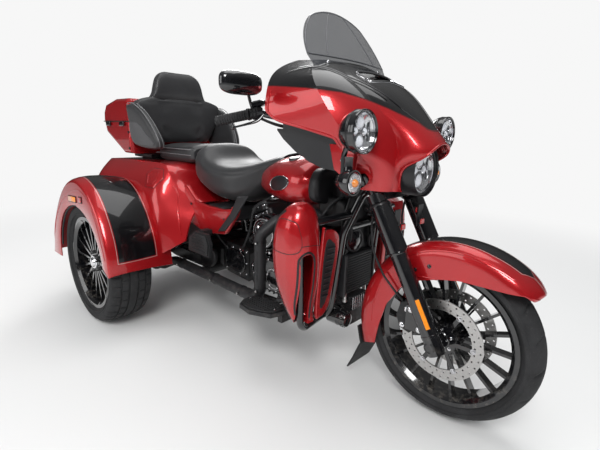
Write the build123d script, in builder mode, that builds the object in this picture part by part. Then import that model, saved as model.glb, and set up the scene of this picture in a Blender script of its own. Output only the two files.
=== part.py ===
from build123d import *
import math
import os

# Three-wheeled touring motorcycle: one steered front wheel, two driven rear wheels.
# Frame: +X forward, +Y to the rider's left, +Z up, millimetres.
# Origin: on the ground, under the centre of the overall box.

os.makedirs("parts", exist_ok=True)

# Driving dimensions
OVERALL_LENGTH = 2670.0
OVERALL_WIDTH = 1390.0
WHEELBASE = 1670.0
REAR_TRACK = 1132.0
FRONT_TYRE_R = 319.0
FRONT_TYRE_W = 130.0
FRONT_SEAT_R = 241.3
REAR_TYRE_R = 325.0
REAR_TYRE_W = 210.0
REAR_SEAT_R = 228.6
RAKE = 26.0
TRAIL = 100.0
FORK_ANGLE = 29.2
FORK_Y = 125.0
CYLINDER_LEAN = 22.5

# Places worked out from them
FRONT_AXLE_X = OVERALL_LENGTH / 2 - FRONT_TYRE_R
REAR_AXLE_X = FRONT_AXLE_X - WHEELBASE
TAIL_X = -OVERALL_LENGTH / 2
WHEEL_Y = REAR_TRACK / 2
HALF_WIDTH = OVERALL_WIDTH / 2
STEER_GROUND_X = FRONT_AXLE_X + TRAIL

# Clearances
SEAT_GAP = 0.3
RUN_GAP = 0.05


def steer_x(z):
    """X of the steering axis at height z."""
    return STEER_GROUND_X - z * math.tan(math.radians(RAKE))


def fork_point(z, side):
    """The point of a fork leg's centre line at height z."""
    lean = math.tan(math.radians(FORK_ANGLE))
    return Vector(FRONT_AXLE_X + 4 - (z - FRONT_TYRE_R) * lean, side * FORK_Y, z)


def leaning(degrees):
    """The upward direction that leans back by an angle."""
    return (-math.sin(math.radians(degrees)), 0, math.cos(math.radians(degrees)))


def side_view(y):
    """A plane at y: its local x and y are the row's X and Z, and it faces -Y."""
    return Plane.XZ.offset(-y)


def front_view(x):
    """A plane at x: its local x and y are the row's Y and Z, and it faces +X."""
    return Plane.YZ.offset(x)


def polygon_slab(outline, y_high, depth):
    """A side view outline given as (x, z), extruded from y_high towards -Y."""
    with BuildPart() as slab:
        with BuildSketch(side_view(y_high)):
            with BuildLine():
                Polyline(*outline, close=True)
            make_face()
        extrude(amount=depth)
    return slab.part


def round_bar(points, radius, bends):
    """A round bar along straight runs with tangent bends."""
    with BuildPart() as bar:
        with BuildLine() as route:
            if len(points) > 2:
                FilletPolyline(*points, radius=bends)
            else:
                Line(*points)
        with BuildSketch(Plane(origin=route.line @ 0, z_dir=route.line % 0)):
            Circle(radius)
        sweep()
    return bar.part


def both_sides(points):
    """A route on the right side carried on to its mirror image on the left."""
    return list(points) + [(x, -y, z) for x, y, z in reversed(points)]


def save(part, name):
    part.label = name
    export_step(part, f"parts/{name}.step")


# Tyres: hollow carcasses, open at the rim
def tyre(name, x, y, outer_r, width, seat_r, flange, bead_half, shoulder_half, drop):
    half, bead_r = width / 2, seat_r + SEAT_GAP
    side_r, shoulder_r = seat_r + (outer_r - seat_r) * 0.45, outer_r - drop
    wall = 10.0
    inner = (
        (bead_half - wall, bead_r), (bead_half - wall, seat_r + flange),
        (half - wall, side_r), (shoulder_half - wall / 2, shoulder_r - wall),
    )
    with BuildPart() as carcass:
        with BuildSketch(Plane(origin=(x, y, outer_r), x_dir=(0, 1, 0), z_dir=(1, 0, 0))):
            with BuildLine():
                for s in (-1, 1):
                    Line((s * inner[0][0], bead_r), (s * bead_half, bead_r))
                    Line((s * bead_half, bead_r), (s * bead_half, seat_r + flange + 2))
                    ThreePointArc((s * bead_half, seat_r + flange + 2), (s * half, side_r + 8),
                                  (s * shoulder_half, shoulder_r))
                ThreePointArc((-shoulder_half, shoulder_r), (0, outer_r), (shoulder_half, shoulder_r))
                Polyline(*inner, *[(-a, r) for a, r in reversed(inner)])
            make_face()
        revolve(axis=Axis((x, y, outer_r), (0, 1, 0)))
    save(carcass.part, name)


tyre("front_tyre", FRONT_AXLE_X, 0, FRONT_TYRE_R, FRONT_TYRE_W, FRONT_SEAT_R, 15, 44, 46, 20)
for side, hand in ((-1, "right"), (1, "left")):
    tyre(f"rear_tyre_{hand}", REAR_AXLE_X, side * WHEEL_Y, REAR_TYRE_R, REAR_TYRE_W, REAR_SEAT_R,
         17, 84, 88, 9)

# Wheels: rim, blade spokes and hub cast in one
AXLE_R = 12.5
HUB_HALF = 62.0
REAR_STUB_R = 20.0


def wheel(name, x, y, axle_z, seat_r, seat_half, flange, hub_r, bore_r, spokes, spoke_y, spoke_w):
    lip = 7.0
    rim = (
        (seat_half + lip, seat_r + flange), (seat_half + 1, seat_r + flange), (seat_half, seat_r),
        (-seat_half, seat_r), (-seat_half - 1, seat_r + flange), (-seat_half - lip, seat_r + flange),
        (-seat_half - lip, seat_r), (-seat_half + 6, seat_r - 14), (seat_half - 6, seat_r - 14),
        (seat_half + lip, seat_r),
    )
    hub = (
        (-HUB_HALF, bore_r), (HUB_HALF, bore_r), (HUB_HALF, hub_r - 8), (HUB_HALF - 14, hub_r),
        (14 - HUB_HALF, hub_r), (-HUB_HALF, hub_r - 8),
    )
    root_r, tip_r = hub_r - 6, seat_r - 10
    with BuildPart() as casting:
        with BuildSketch(Plane(origin=(x, y, axle_z), x_dir=(0, 1, 0), z_dir=(1, 0, 0))):
            for outline in (rim, hub):
                with BuildLine():
                    Polyline(*outline, close=True)
                make_face()
        revolve(axis=Axis((x, y, axle_z), (0, 1, 0)))
        with BuildSketch(Plane(origin=(x, y + spoke_y, axle_z), x_dir=(1, 0, 0), z_dir=(0, -1, 0))):
            with PolarLocations((root_r + tip_r) / 2, spokes):
                Rectangle(tip_r - root_r, spoke_w)
        extrude(amount=16, both=True)
    save(casting.part, name)


SPOKES = 18
wheel("front_wheel", FRONT_AXLE_X, 0, FRONT_TYRE_R, FRONT_SEAT_R, 44.5, 15, 42, AXLE_R + RUN_GAP,
      SPOKES, 0, 10)
for side, hand in ((-1, "right"), (1, "left")):
    wheel(f"rear_wheel_{hand}", REAR_AXLE_X, side * WHEEL_Y, REAR_TYRE_R, REAR_SEAT_R, 84.5, 17,
          60, REAR_STUB_R + RUN_GAP, SPOKES, side * 44, 11)

# Brake discs: a slotted carrier and a floating ring on each side of the front hub
DISC_R, DISC_T = 150.0, 5.0
with BuildPart() as front_discs:
    for side in (-1, 1):
        face = Plane(origin=(FRONT_AXLE_X, side * HUB_HALF, FRONT_TYRE_R), x_dir=(1, 0, 0),
                     z_dir=(0, side, 0))
        with BuildSketch(face):
            Circle(DISC_R)
            Circle(112, mode=Mode.SUBTRACT)
            Circle(56)
            Circle(AXLE_R + 8, mode=Mode.SUBTRACT)
            with PolarLocations(85, 6):
                Rectangle(70, 20)
        extrude(amount=DISC_T)
save(front_discs.part, "front_discs")

# Fork: slider, cover and upper tube of each leg, two clamps, steering stem, axle, caliper lugs
LEG_STATIONS = (
    # from z, to z, radius
    (293, 622, 31.0),
    (622, 775, 38.0),
    (775, 916, 24.5),
)
CLAMPS = (
    # z, thickness, half depth
    (800, 34, 38),
    (904, 22, 34),
)
STEM_R = 15.0
with BuildPart() as fork:
    for side in (-1, 1):
        for z_low, z_high, radius in LEG_STATIONS:
            low, high = fork_point(z_low, side), fork_point(z_high, side)
            with BuildSketch(Plane(origin=low, z_dir=high - low)):
                Circle(radius)
            extrude(amount=(high - low).length)
        add(polygon_slab(((900, 338), (900, 432), (950, 440), (990, 360), (980, 338)),
                         max(side * 98, side * 118), 20))
    for z, thick, half in CLAMPS:
        centre = fork_point(z, 0)
        with BuildSketch(Plane(origin=centre, x_dir=(0, 1, 0), z_dir=leaning(FORK_ANGLE))):
            SlotOverall(2 * FORK_Y + 2 * half, 2 * half)
        extrude(amount=thick / 2, both=True)
    with BuildSketch(Plane(origin=(steer_x(800), 0, 800), z_dir=leaning(RAKE))):
        Circle(STEM_R)
    extrude(amount=114)
    with BuildSketch(side_view(FORK_Y + 26)):
        with Locations((FRONT_AXLE_X, FRONT_TYRE_R)):
            Circle(AXLE_R)
    extrude(amount=2 * FORK_Y + 52)
save(fork.part, "fork")

# Calipers astride the discs, seated on the fork's lugs
CALIPER = ((852, 372), (866, 424), (906, 442), (934, 400), (934, 340), (908, 316), (868, 326))
with BuildPart() as calipers:
    for side in (-1, 1):
        add(polygon_slab(CALIPER, max(side * 38, side * 98), 60))
    for side in (-1, 1):
        with BuildSketch(side_view(max(side * (HUB_HALF - 3), side * (HUB_HALF + 8)))):
            with Locations((FRONT_AXLE_X, FRONT_TYRE_R)):
                Circle(DISC_R + 4)
        extrude(amount=11, mode=Mode.SUBTRACT)
save(calipers.part, "calipers")

# Front fender: an arched section swept about its centre, with its skirts cut to the side outline
FENDER_X, FENDER_Z, FENDER_R, FENDER_HALF = 1034.0, 312.0, 371.0, 89.0
FENDER_TIP_DEG, FENDER_SWEEP_DEG = 44.0, 156.0
FENDER_SKIN = 3.5
SKIRT_CUT = (
    (1420, 566), (1230, 562), (1066, 561), (1000, 548), (926, 524), (862, 486), (800, 392),
    (774, 296), (758, 194), (664, 176), (664, 100), (1420, 100),
)
with BuildPart() as front_fender:
    turned = Plane(origin=(FENDER_X, 0, FENDER_Z), x_dir=(0, 1, 0), z_dir=leaning(180 + FENDER_TIP_DEG))
    for skin, how in ((0.0, Mode.ADD), (FENDER_SKIN, Mode.SUBTRACT)):
        half, crown = FENDER_HALF - skin, FENDER_R - skin
        with BuildSketch(turned):
            with BuildLine():
                for s in (-1, 1):
                    ThreePointArc((s * half, crown - 54), (s * half * 0.93, crown - 26), (s * half * 0.6, crown - 7))
                ThreePointArc((-half * 0.6, crown - 7), (0, crown), (half * 0.6, crown - 7))
                Polyline((half, crown - 54), (half, 185 - skin), (-half, 185 - skin), (-half, crown - 54))
            make_face()
        revolve(axis=Axis((FENDER_X, 0, FENDER_Z), (0, -1, 0)), revolution_arc=FENDER_SWEEP_DEG, mode=how)
    add(polygon_slab(SKIRT_CUT, 200, 400), mode=Mode.SUBTRACT)
    # Bosses against the fork legs
    for side in (-1, 1):
        for z in (560, 592):
            with BuildSketch(side_view(side * 92 + 6)):
                with Locations((fork_point(z, side).X, z)):
                    Circle(13)
            extrude(amount=12)
    add(fork.part, mode=Mode.SUBTRACT)
save(front_fender.part, "front_fender")

# Rubber flap hung inside the rear of the front fender
FLAP = (
    (670, 250), (677, 250), (689, 200), (695, 178), (690, 166), (660, 96), (634, 42), (627, 42), (654, 98),
    (682, 168), (688, 180), (682, 200),
)
with BuildPart() as fender_flap:
    add(polygon_slab(FLAP, 82, 164))
    add(front_fender.part, mode=Mode.SUBTRACT)
save(fender_flap.part, "fender_flap")

# Brake hoses from the lower clamp to each caliper
with BuildPart() as brake_hoses:
    for side in (-1, 1):
        add(round_bar([(738, side * 112, 800), (726, side * 112, 700), (738, side * 112, 600),
                       (790, side * 106, 510), (846, side * 102, 456), (876, side * 84, 420)],
                      4, (90, 90, 60, 30)))
    add(fork.part, mode=Mode.SUBTRACT)
    add(calipers.part, mode=Mode.SUBTRACT)
save(brake_hoses.part, "brake_hoses")

# Fairing: horizontal sections lofted up, hollowed, and cut to its side outline
FAIRING = (
    # z, nose x, corner x, corner y, side x, side y, back x, back y
    (832, 862, 806, 118, 756, 160, 700, 172),
    (930, 886, 814, 128, 750, 205, 640, 250),
    (1035, 897, 800, 126, 694, 276, 395, 344),
    (1120, 812, 750, 160, 640, 305, 388, 350),
    (1190, 732, 676, 180, 590, 305, 380, 330),
    (1250, 620, 590, 150, 530, 255, 380, 286),
    (1292, 540, 520, 110, 480, 180, 420, 210),
)
FAIRING_SIDE = (
    (340, 1320), (340, 1180), (398, 1094), (449, 1062), (560, 1036), (655, 1010), (690, 950),
    (704, 832), (1000, 832), (1000, 1320),
)
FAIRING_SKIN = 6.0


def fairing_form(skin):
    """The closed form inside the fairing's outer face, smaller by a skin."""
    with BuildPart() as form:
        for z, nose, corner_x, corner_y, side_x, side_y, back_x, back_y in FAIRING:
            corner = (corner_x - skin, corner_y - skin / 2)
            flank = (side_x - skin / 2, side_y - skin)
            # The inner form reaches out of the open back and bottom
            past = 40 / (side_x - back_x) if skin else 0
            back = (back_x - past * (side_x - back_x), back_y - skin + past * (back_y - side_y))
            if skin:
                z = z - skin if z == FAIRING[-1][0] else z - 8 if z == FAIRING[0][0] else z
            with BuildSketch(Plane.XY.offset(z)):
                with BuildLine():
                    ThreePointArc((corner[0], -corner[1]), (nose - skin, 0), corner)
                    for s in (-1, 1):
                        middle = ((corner[0] + flank[0]) / 2 + 8, s * ((corner[1] + flank[1]) / 2 + 8))
                        ThreePointArc((corner[0], s * corner[1]), middle, (flank[0], s * flank[1]))
                        Line((flank[0], s * flank[1]), (back[0], s * back[1]))
                    Line((back[0], -back[1]), back)
                make_face()
        loft()
    return form.part


HEADLAMP_X, HEADLAMP_Z, HEADLAMP_R = 858.0, 904.0, 89.0
fairing_outside = fairing_form(0.0)
fairing_inside = fairing_form(FAIRING_SKIN)
with BuildPart() as fairing:
    add(fairing_outside)
    add(fairing_inside, mode=Mode.SUBTRACT)
    add(polygon_slab(FAIRING_SIDE, 400, 800), mode=Mode.INTERSECT)
    # The headlamp's arch and the vent below the windshield
    with BuildSketch(front_view(700)):
        with Locations((0, HEADLAMP_Z)):
            Circle(HEADLAMP_R + 5)
        with Locations((0, HEADLAMP_Z - 60)):
            Rectangle(2 * HEADLAMP_R + 10, 120)
    extrude(amount=300, mode=Mode.SUBTRACT)
    with BuildSketch(Plane.XY.offset(1150)):
        with Locations((650, 0)):
            RectangleRounded(66, 226, 20)
    extrude(amount=110, mode=Mode.SUBTRACT)
    # Brackets to the upper clamp
    for side in (-1, 1):
        with BuildSketch(Plane.XY.offset(893)):
            with Locations((716, side * 177)):
                Rectangle(20, 54)
        extrude(amount=22)
    add(fork.part, mode=Mode.SUBTRACT)
save(fairing.part, "fairing")

# Inner fairing: an instrument wall inside the outer one, with gauge and speaker recesses
DASH_X, DASH_T, DASH_LOW = 436.0, 24.0, 1106.0
GAUGES = (
    # y, z, radius
    (0, 1200, 40),
    (-82, 1196, 40),
    (82, 1196, 40),
    (-215, 1150, 56),
    (215, 1150, 56),
)
# Its skirts show below the fairing's wings: outline as distance along the skirt from its rear, and height
SKIRT = (
    (12, 1040), (12, 1034), (40, 1002), (92, 960), (150, 926), (205, 906), (272, 897), (272, 1020),
    (258, 1034), (163, 1060), (72, 1112), (38, 1112), (38, 1040),
)
SKIRT_START, SKIRT_RUN, SKIRT_T = (400, 310), (300, 70), 5.0
with BuildPart() as dash:
    add(fairing_inside)
    with BuildSketch(front_view(DASH_X)):
        with Locations((0, DASH_LOW + 65)):
            Rectangle(660, 130)
    extrude(amount=DASH_T, mode=Mode.INTERSECT)
    with BuildSketch(front_view(DASH_X)):
        for y, z, radius in GAUGES:
            with Locations((y, z)):
                Circle(radius)
    extrude(amount=12, mode=Mode.SUBTRACT)
    for side in (-1, 1):
        along, inward = SKIRT_RUN[0], -side * SKIRT_RUN[1]
        with BuildSketch(Plane(origin=(SKIRT_START[0], side * SKIRT_START[1], 0), x_dir=(along, inward, 0),
                               z_dir=(inward, -along, 0))):
            with BuildLine():
                Polyline(*SKIRT, close=True)
            make_face()
        extrude(amount=SKIRT_T / 2, both=True)
save(dash.part, "dash")

# Windshield: a curved sheet leaning back, trimmed to its outline
SHIELD_T, SHIELD_LEAN = 5.0, 30.0
with BuildPart() as windshield:
    with BuildSketch(Plane.XY.offset(1232)):
        with BuildLine():
            ThreePointArc((524, -290), (562, 0), (524, 290))
            Line((524, 290), (524 + SHIELD_T, 290))
            ThreePointArc((524 + SHIELD_T, 290), (562 + SHIELD_T, 0), (524 + SHIELD_T, -290))
            Line((524 + SHIELD_T, -290), (524, -290))
        make_face()
    extrude(amount=330, dir=Vector(*leaning(SHIELD_LEAN)))
    with BuildSketch(front_view(200)):
        with BuildLine():
            Line((-232, 1256), (232, 1256))
            for s in (-1, 1):
                Line((s * 232, 1256), (s * 246, 1300))
                ThreePointArc((s * 246, 1300), (s * 222, 1386), (s * 150, 1462))
            ThreePointArc((-150, 1462), (0, 1495), (150, 1462))
        make_face()
    extrude(amount=600, mode=Mode.INTERSECT)
    add(fairing_outside, mode=Mode.SUBTRACT)
save(windshield.part, "windshield")

# Headlamp: bucket, ring and domed lens about its own axis
with BuildPart() as headlamp:
    with BuildSketch(Plane(origin=(HEADLAMP_X, 0, HEADLAMP_Z), x_dir=(1, 0, 0), z_dir=(0, -1, 0))):
        with BuildLine():
            Polyline((12, 0), (-95, 0), (-95, 48), (-60, 66), (-30, HEADLAMP_R), (0, HEADLAMP_R),
                     (4, HEADLAMP_R - 8), (10, 48), (12, 20), (12, 0))
        make_face()
    revolve(axis=Axis((HEADLAMP_X, 0, HEADLAMP_Z), (1, 0, 0)))
    # Its post on the upper clamp
    with BuildSketch(front_view(718)):
        with Locations((0, HEADLAMP_Z)):
            Circle(11)
    extrude(amount=62)
    add(fork.part, mode=Mode.SUBTRACT)
save(headlamp.part, "headlamp")

# Auxiliary lamps beside the fairing
AUX_X, AUX_Y, AUX_Z, AUX_R = 797.0, 300.0, 1036.0, 70.0
with BuildPart() as aux_lamps:
    for side in (-1, 1):
        with BuildSketch(Plane(origin=(AUX_X, side * AUX_Y, AUX_Z), x_dir=(1, 0, 0), z_dir=(0, -1, 0))):
            with BuildLine():
                Polyline((4, 0), (-78, 0), (-78, 34), (-50, 56), (-16, AUX_R), (0, AUX_R), (0, AUX_R - 7),
                         (4, 30), (4, 0))
            make_face()
        revolve(axis=Axis((AUX_X, side * AUX_Y, AUX_Z), (1, 0, 0)))
save(aux_lamps.part, "aux_lamps")

# Turn signals on a bracket that carries the auxiliary lamps too
SIGNAL_X, SIGNAL_Y, SIGNAL_Z, SIGNAL_R = 762.0, 298.0, 872.0, 33.0
with BuildPart() as turn_signals:
    for side in (-1, 1):
        add(round_bar([(700, side * 120, 884), (690, side * 250, 884), (716, side * AUX_Y, 884)], 10, (50,)))
        add(round_bar([(722, side * AUX_Y, 884), (722, side * AUX_Y, 960), (742, side * AUX_Y, 1010)], 9, (40,)))
        with BuildSketch(front_view(SIGNAL_X - 56)):
            with Locations((side * SIGNAL_Y, SIGNAL_Z)):
                Circle(SIGNAL_R - 12)
        with BuildSketch(front_view(SIGNAL_X - 20)):
            with Locations((side * SIGNAL_Y, SIGNAL_Z)):
                Circle(SIGNAL_R)
        loft()
        with BuildSketch(front_view(SIGNAL_X - 20)):
            with Locations((side * SIGNAL_Y, SIGNAL_Z)):
                Circle(SIGNAL_R)
        extrude(amount=26)
    add(fork.part, mode=Mode.SUBTRACT)
    add(fairing.part, mode=Mode.SUBTRACT)
    add(aux_lamps.part, mode=Mode.SUBTRACT)
save(turn_signals.part, "turn_signals")

# Handlebar: risers on the upper clamp, bar and grips
GRIP_R, BAR_R = 17.0, 12.7
BAR = ((205, -432, 1062), (350, -352, 1096), (440, -262, 1072), (556, -150, 1010), (612, -60, 958))
with BuildPart() as handlebar:
    add(round_bar(both_sides(BAR), BAR_R, (70, 80, 90, 40, 40, 90, 80, 70)))
    for side in (-1, 1):
        with BuildSketch(Plane(origin=(680, side * 60, 914), z_dir=(-68, 0, 44))):
            Circle(16)
        extrude(amount=78)
        add(round_bar([(320, side * 368.5, 1089), (203, side * 433, 1061.5)], GRIP_R, ()))
    add(fork.part, mode=Mode.SUBTRACT)
save(handlebar.part, "handlebar")

# Mirrors on stems from the bar
with BuildPart() as mirrors:
    for side in (-1, 1):
        with BuildSketch(front_view(392)):
            with Locations((side * 468, 1187)):
                RectangleRounded(176, 78, 32)
        extrude(amount=36, taper=24)
        add(round_bar([(340, side * 362, 1100), (352, side * 392, 1140), (396, side * 440, 1180)], 6, (30,)))
    add(handlebar.part, mode=Mode.SUBTRACT)
save(mirrors.part, "mirrors")

# Frame: steering neck and backbone, and the cradle's two tubes with their cross members
with BuildPart() as frame_backbone:
    add(round_bar([(682, 0, 848), (420, 0, 796), (60, 0, 772), (-280, 0, 640)], 30, (300, 300)))
    with BuildSketch(Plane(origin=(steer_x(822), 0, 822), z_dir=leaning(RAKE))):
        Circle(31)
    extrude(amount=62)
    with BuildSketch(Plane(origin=(steer_x(800), 0, 800), z_dir=leaning(RAKE))):
        Circle(STEM_R + RUN_GAP)
    extrude(amount=160, mode=Mode.SUBTRACT)
save(frame_backbone.part, "frame_backbone")

CRADLE = (
    (684, -20, 844), (640, -62, 792), (600, -120, 640), (560, -135, 250), (-330, -150, 215),
    (-360, -150, 470), (-250, -20, 640),
)
with BuildPart() as frame_cradle:
    for side in (-1, 1):
        add(round_bar([(x, -side * y, z) for x, y, z in CRADLE], 16, (60, 120, 110, 110, 90)))
    for x, z, half in ((536, 276, 130), (-304, 246, 145), (606, 660, 104)):
        with BuildSketch(side_view(half)):
            with Locations((x, z)):
                Circle(13)
        extrude(amount=2 * half)
    add(frame_backbone.part, mode=Mode.SUBTRACT)
save(frame_cradle.part, "frame_cradle")

# Engine: crankcase with a roof for the two leaning cylinders, and the gearbox behind it
CRANK_X, CRANK_Z, DECK = 190.0, 318.0, 165.0
LEAN_SIN, LEAN_COS = math.sin(math.radians(CYLINDER_LEAN)), math.cos(math.radians(CYLINDER_LEAN))


def deck_point(along, lean):
    """A point of a cylinder's deck, a length along it from the cylinder's axis."""
    return (CRANK_X + lean * (DECK * LEAN_SIN + along * LEAN_COS), CRANK_Z + DECK * LEAN_COS - along * LEAN_SIN)


PEAK = -DECK * LEAN_SIN / LEAN_COS
CRANKCASE = (
    (20, 252), (350, 242), (402, 300), (396, 396), deck_point(76, 1), deck_point(PEAK, 1),
    deck_point(76, -1), (-14, 400), (-14, 300),
)
GEARBOX = ((-222, 300), (-190, 268), (-14, 255), (-14, 430), (-190, 438), (-222, 400))
PIVOT_X, PIVOT_Z = -320.0, 330.0
with BuildPart() as crankcase:
    add(polygon_slab(CRANKCASE, 92, 184))
    add(polygon_slab(GEARBOX, 100, 200))
    add(polygon_slab(((390, 262), (534, 256), (534, 276), (398, 330)), 30, 60))
    add(frame_cradle.part, mode=Mode.SUBTRACT)
save(crankcase.part, "crankcase")

# Finned cylinders, heads and rocker covers
FINS, FIN_PITCH, FIN_T = 9, 14.0, 5.0
HEAD_LOW, HEAD_TOP, ROCKER_TOP = 140.0, 184.0, 222.0
with BuildPart() as cylinders:
    for lean in (1, -1):
        deck = Plane(origin=(deck_point(0, lean)[0], 0, deck_point(0, lean)[1]), x_dir=(0, 1, 0),
                     z_dir=(lean * LEAN_SIN, 0, LEAN_COS))
        with BuildSketch(deck):
            RectangleRounded(118, 118, 40)
        extrude(amount=HEAD_LOW)
        for n in range(FINS):
            height = 10 + n * FIN_PITCH
            reach = min(76, (DECK + height) * LEAN_SIN / LEAN_COS - 1.5)
            with BuildSketch(deck.offset(height)):
                RectangleRounded(166, 2 * reach, 34)
            extrude(amount=FIN_T)
        with BuildSketch(deck.offset(HEAD_LOW)):
            RectangleRounded(160, 146, 26)
        extrude(amount=HEAD_TOP - HEAD_LOW)
        with BuildSketch(deck.offset(HEAD_TOP)):
            RectangleRounded(184, 124, 30)
        extrude(amount=ROCKER_TOP - HEAD_TOP, taper=10)
save(cylinders.part, "cylinders")

# Covers: cam chest on the right, primary drive on the left
CAM_CHEST = ((84, 286), (240, 276), (322, 322), (330, 400), (268, 440), (96, 446), (46, 370))
PRIMARY = ((-196, 330), (-150, 280), (240, 276), (322, 306), (330, 392), (262, 440), (-150, 424))
with BuildPart() as engine_covers:
    add(polygon_slab(CAM_CHEST, -92, 52))
    add(polygon_slab(PRIMARY, 168, 68))
    add(polygon_slab(PRIMARY[2:6] + ((-10, 436), (-10, 276)), 100, 8))
    fillet(engine_covers.faces().sort_by(Axis.Y)[0].edges(), 16)
    fillet(engine_covers.faces().sort_by(Axis.Y)[-1].edges(), 16)
save(engine_covers.part, "engine_covers")

# Air cleaner on the right of the vee
with BuildPart() as air_cleaner:
    with BuildSketch(side_view(-56)):
        with Locations((190, 566)):
            RectangleRounded(64, 60, 20)
    extrude(amount=74)
    with BuildSketch(side_view(-130)):
        with Locations((206, 578)):
            Circle(82)
    extrude(amount=64, taper=10)
    add(cylinders.part, mode=Mode.SUBTRACT)
save(air_cleaner.part, "air_cleaner")

# Exhaust: heat-shielded pipe down the right side, a cross pipe, and a silencer each side
PIPE_Y, SILENCER_Z = 246.0, 222.0
PIPE = (
    (300, -76, 655), (300, -200, 650), (262, -262, 590), (262, -262, 300), (200, -258, 288),
    (-60, -PIPE_Y, 284), (-500, -PIPE_Y, 288), (-640, -PIPE_Y, SILENCER_Z), (-740, -PIPE_Y, SILENCER_Z),
)
with BuildPart() as exhaust:
    add(round_bar(PIPE, 26, (30, 40, 60, 60, 100, 200, 120)))
    add(cylinders.part, mode=Mode.SUBTRACT)
    add(round_bar([(-252, -PIPE_Y, 284), (-252, 190, 284), (-360, PIPE_Y, 262), (-500, PIPE_Y, 250),
                   (-640, PIPE_Y, SILENCER_Z), (-740, PIPE_Y, SILENCER_Z)], 20, (60, 60, 100, 100)))
    for side in (-1, 1):
        with BuildSketch(front_view(-1215)):
            with Locations((side * PIPE_Y, SILENCER_Z)):
                Circle(46)
        extrude(amount=500)
        with BuildSketch(front_view(-1215)):
            with Locations((side * PIPE_Y, SILENCER_Z)):
                Circle(38)
        extrude(amount=60, mode=Mode.SUBTRACT)
save(exhaust.part, "exhaust")

# Voltage regulator low at the front, finned across
with BuildPart() as regulator:
    with BuildSketch(Plane.XY.offset(226)):
        with Locations((592, 0)):
            RectangleRounded(50, 130, 10)
    extrude(amount=64)
    for n in range(6):
        with BuildSketch(Plane.XY.offset(296 + n * 10)):
            with Locations((592, 0)):
                Rectangle(46, 120)
        extrude(amount=4)
    with BuildSketch(Plane.XY.offset(286)):
        with Locations((590, 0)):
            Rectangle(34, 110)
    extrude(amount=64)
    add(polygon_slab(((538, 268), (538, 284), (572, 284), (572, 268)), 40, 80))
    add(frame_cradle.part, mode=Mode.SUBTRACT)
save(regulator.part, "regulator")

# Fuel tank: round-shouldered sections lofted from its tail to its nose
TANK = (
    # x, half width, top z, bottom z
    (50, 56, 842, 778),
    (150, 128, 902, 748),
    (300, 184, 938, 716),
    (410, 178, 924, 722),
    (462, 140, 886, 760),
)


def tank_form(grow):
    with BuildPart() as form:
        for x, half, top, low in TANK:
            half, top, low = half + grow, top + grow, low - grow
            waist = low + (top - low) * 0.4
            with BuildSketch(front_view(x - (grow if x == TANK[0][0] else 0))):
                with BuildLine():
                    Line((-half * 0.5, low), (half * 0.5, low))
                    for s in (-1, 1):
                        ThreePointArc((s * half * 0.5, low), (s * half * 0.9, low + (waist - low) * 0.45),
                                      (s * half, waist))
                        ThreePointArc((s * half, waist), (s * half * 0.66, top - (top - waist) * 0.2), (0, top))
                make_face()
        loft()
    return form.part


tank_solid = tank_form(0.0)
tank_room = tank_form(1.0)
TUNNEL = ((0, 690), (0, 792), (430, 816), (470, 826), (470, 690))
with BuildPart() as fuel_tank:
    add(tank_solid)
    add(polygon_slab(TUNNEL, 38, 76), mode=Mode.SUBTRACT)
    add(frame_backbone.part, mode=Mode.SUBTRACT)
save(fuel_tank.part, "fuel_tank")

# Rear body: flat-sided sections joined straight, hollow, open below and at both ends
BODY = (
    # x, top half width, top z, shoulder half width, shoulder z, low half width, low z
    (-1300, 256, 802, 330, 700, 330, 400),
    (-1130, 310, 834, 436, 704, 446, 345),
    (-430, 322, 848, 436, 668, 446, 345),
    (-374, 300, 752, 420, 640, 440, 370),
    (-225, 244, 664, 300, 590, 336, 476),
)
BODY_SKIN = 6.0
SHOULDER_R = 62.0


def body_section(row, skin):
    """A cross section of the rear body with rounded shoulders, smaller by a skin."""
    top_y, top_z, mid_y, mid_z, low_y, low_z = row
    flank = ((top_y - skin, top_z - skin), (mid_y - skin, mid_z), (low_y - skin, low_z))
    bend = SHOULDER_R - skin
    with BuildSketch() as section:
        with BuildLine():
            FilletPolyline(*[(-y, z) for y, z in reversed(flank)], *flank, radius=(bend,) * 4)
            Line((-flank[-1][0], flank[-1][1]), flank[-1])
        make_face()
    return section.sketch


def body_form(skin):
    with BuildPart() as form:
        for x, top_y, top_z, mid_y, mid_z, low_y, low_z in BODY:
            low_z -= 30 if skin else 0
            with BuildSketch(front_view(x)):
                add(body_section((top_y, top_z, mid_y, mid_z, low_y, low_z), skin))
        loft(ruled=True)
    return form.part


body_outside = body_form(0.0)
body_inside = body_form(BODY_SKIN)
with BuildPart() as rear_body:
    add(body_outside)
    add(body_inside, mode=Mode.SUBTRACT)
    with BuildSketch(side_view(460)):
        with Locations((REAR_AXLE_X, 330)):
            Rectangle(110, 110)
    extrude(amount=920, mode=Mode.SUBTRACT)
    add(frame_backbone.part, mode=Mode.SUBTRACT)
save(rear_body.part, "rear_body")

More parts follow.
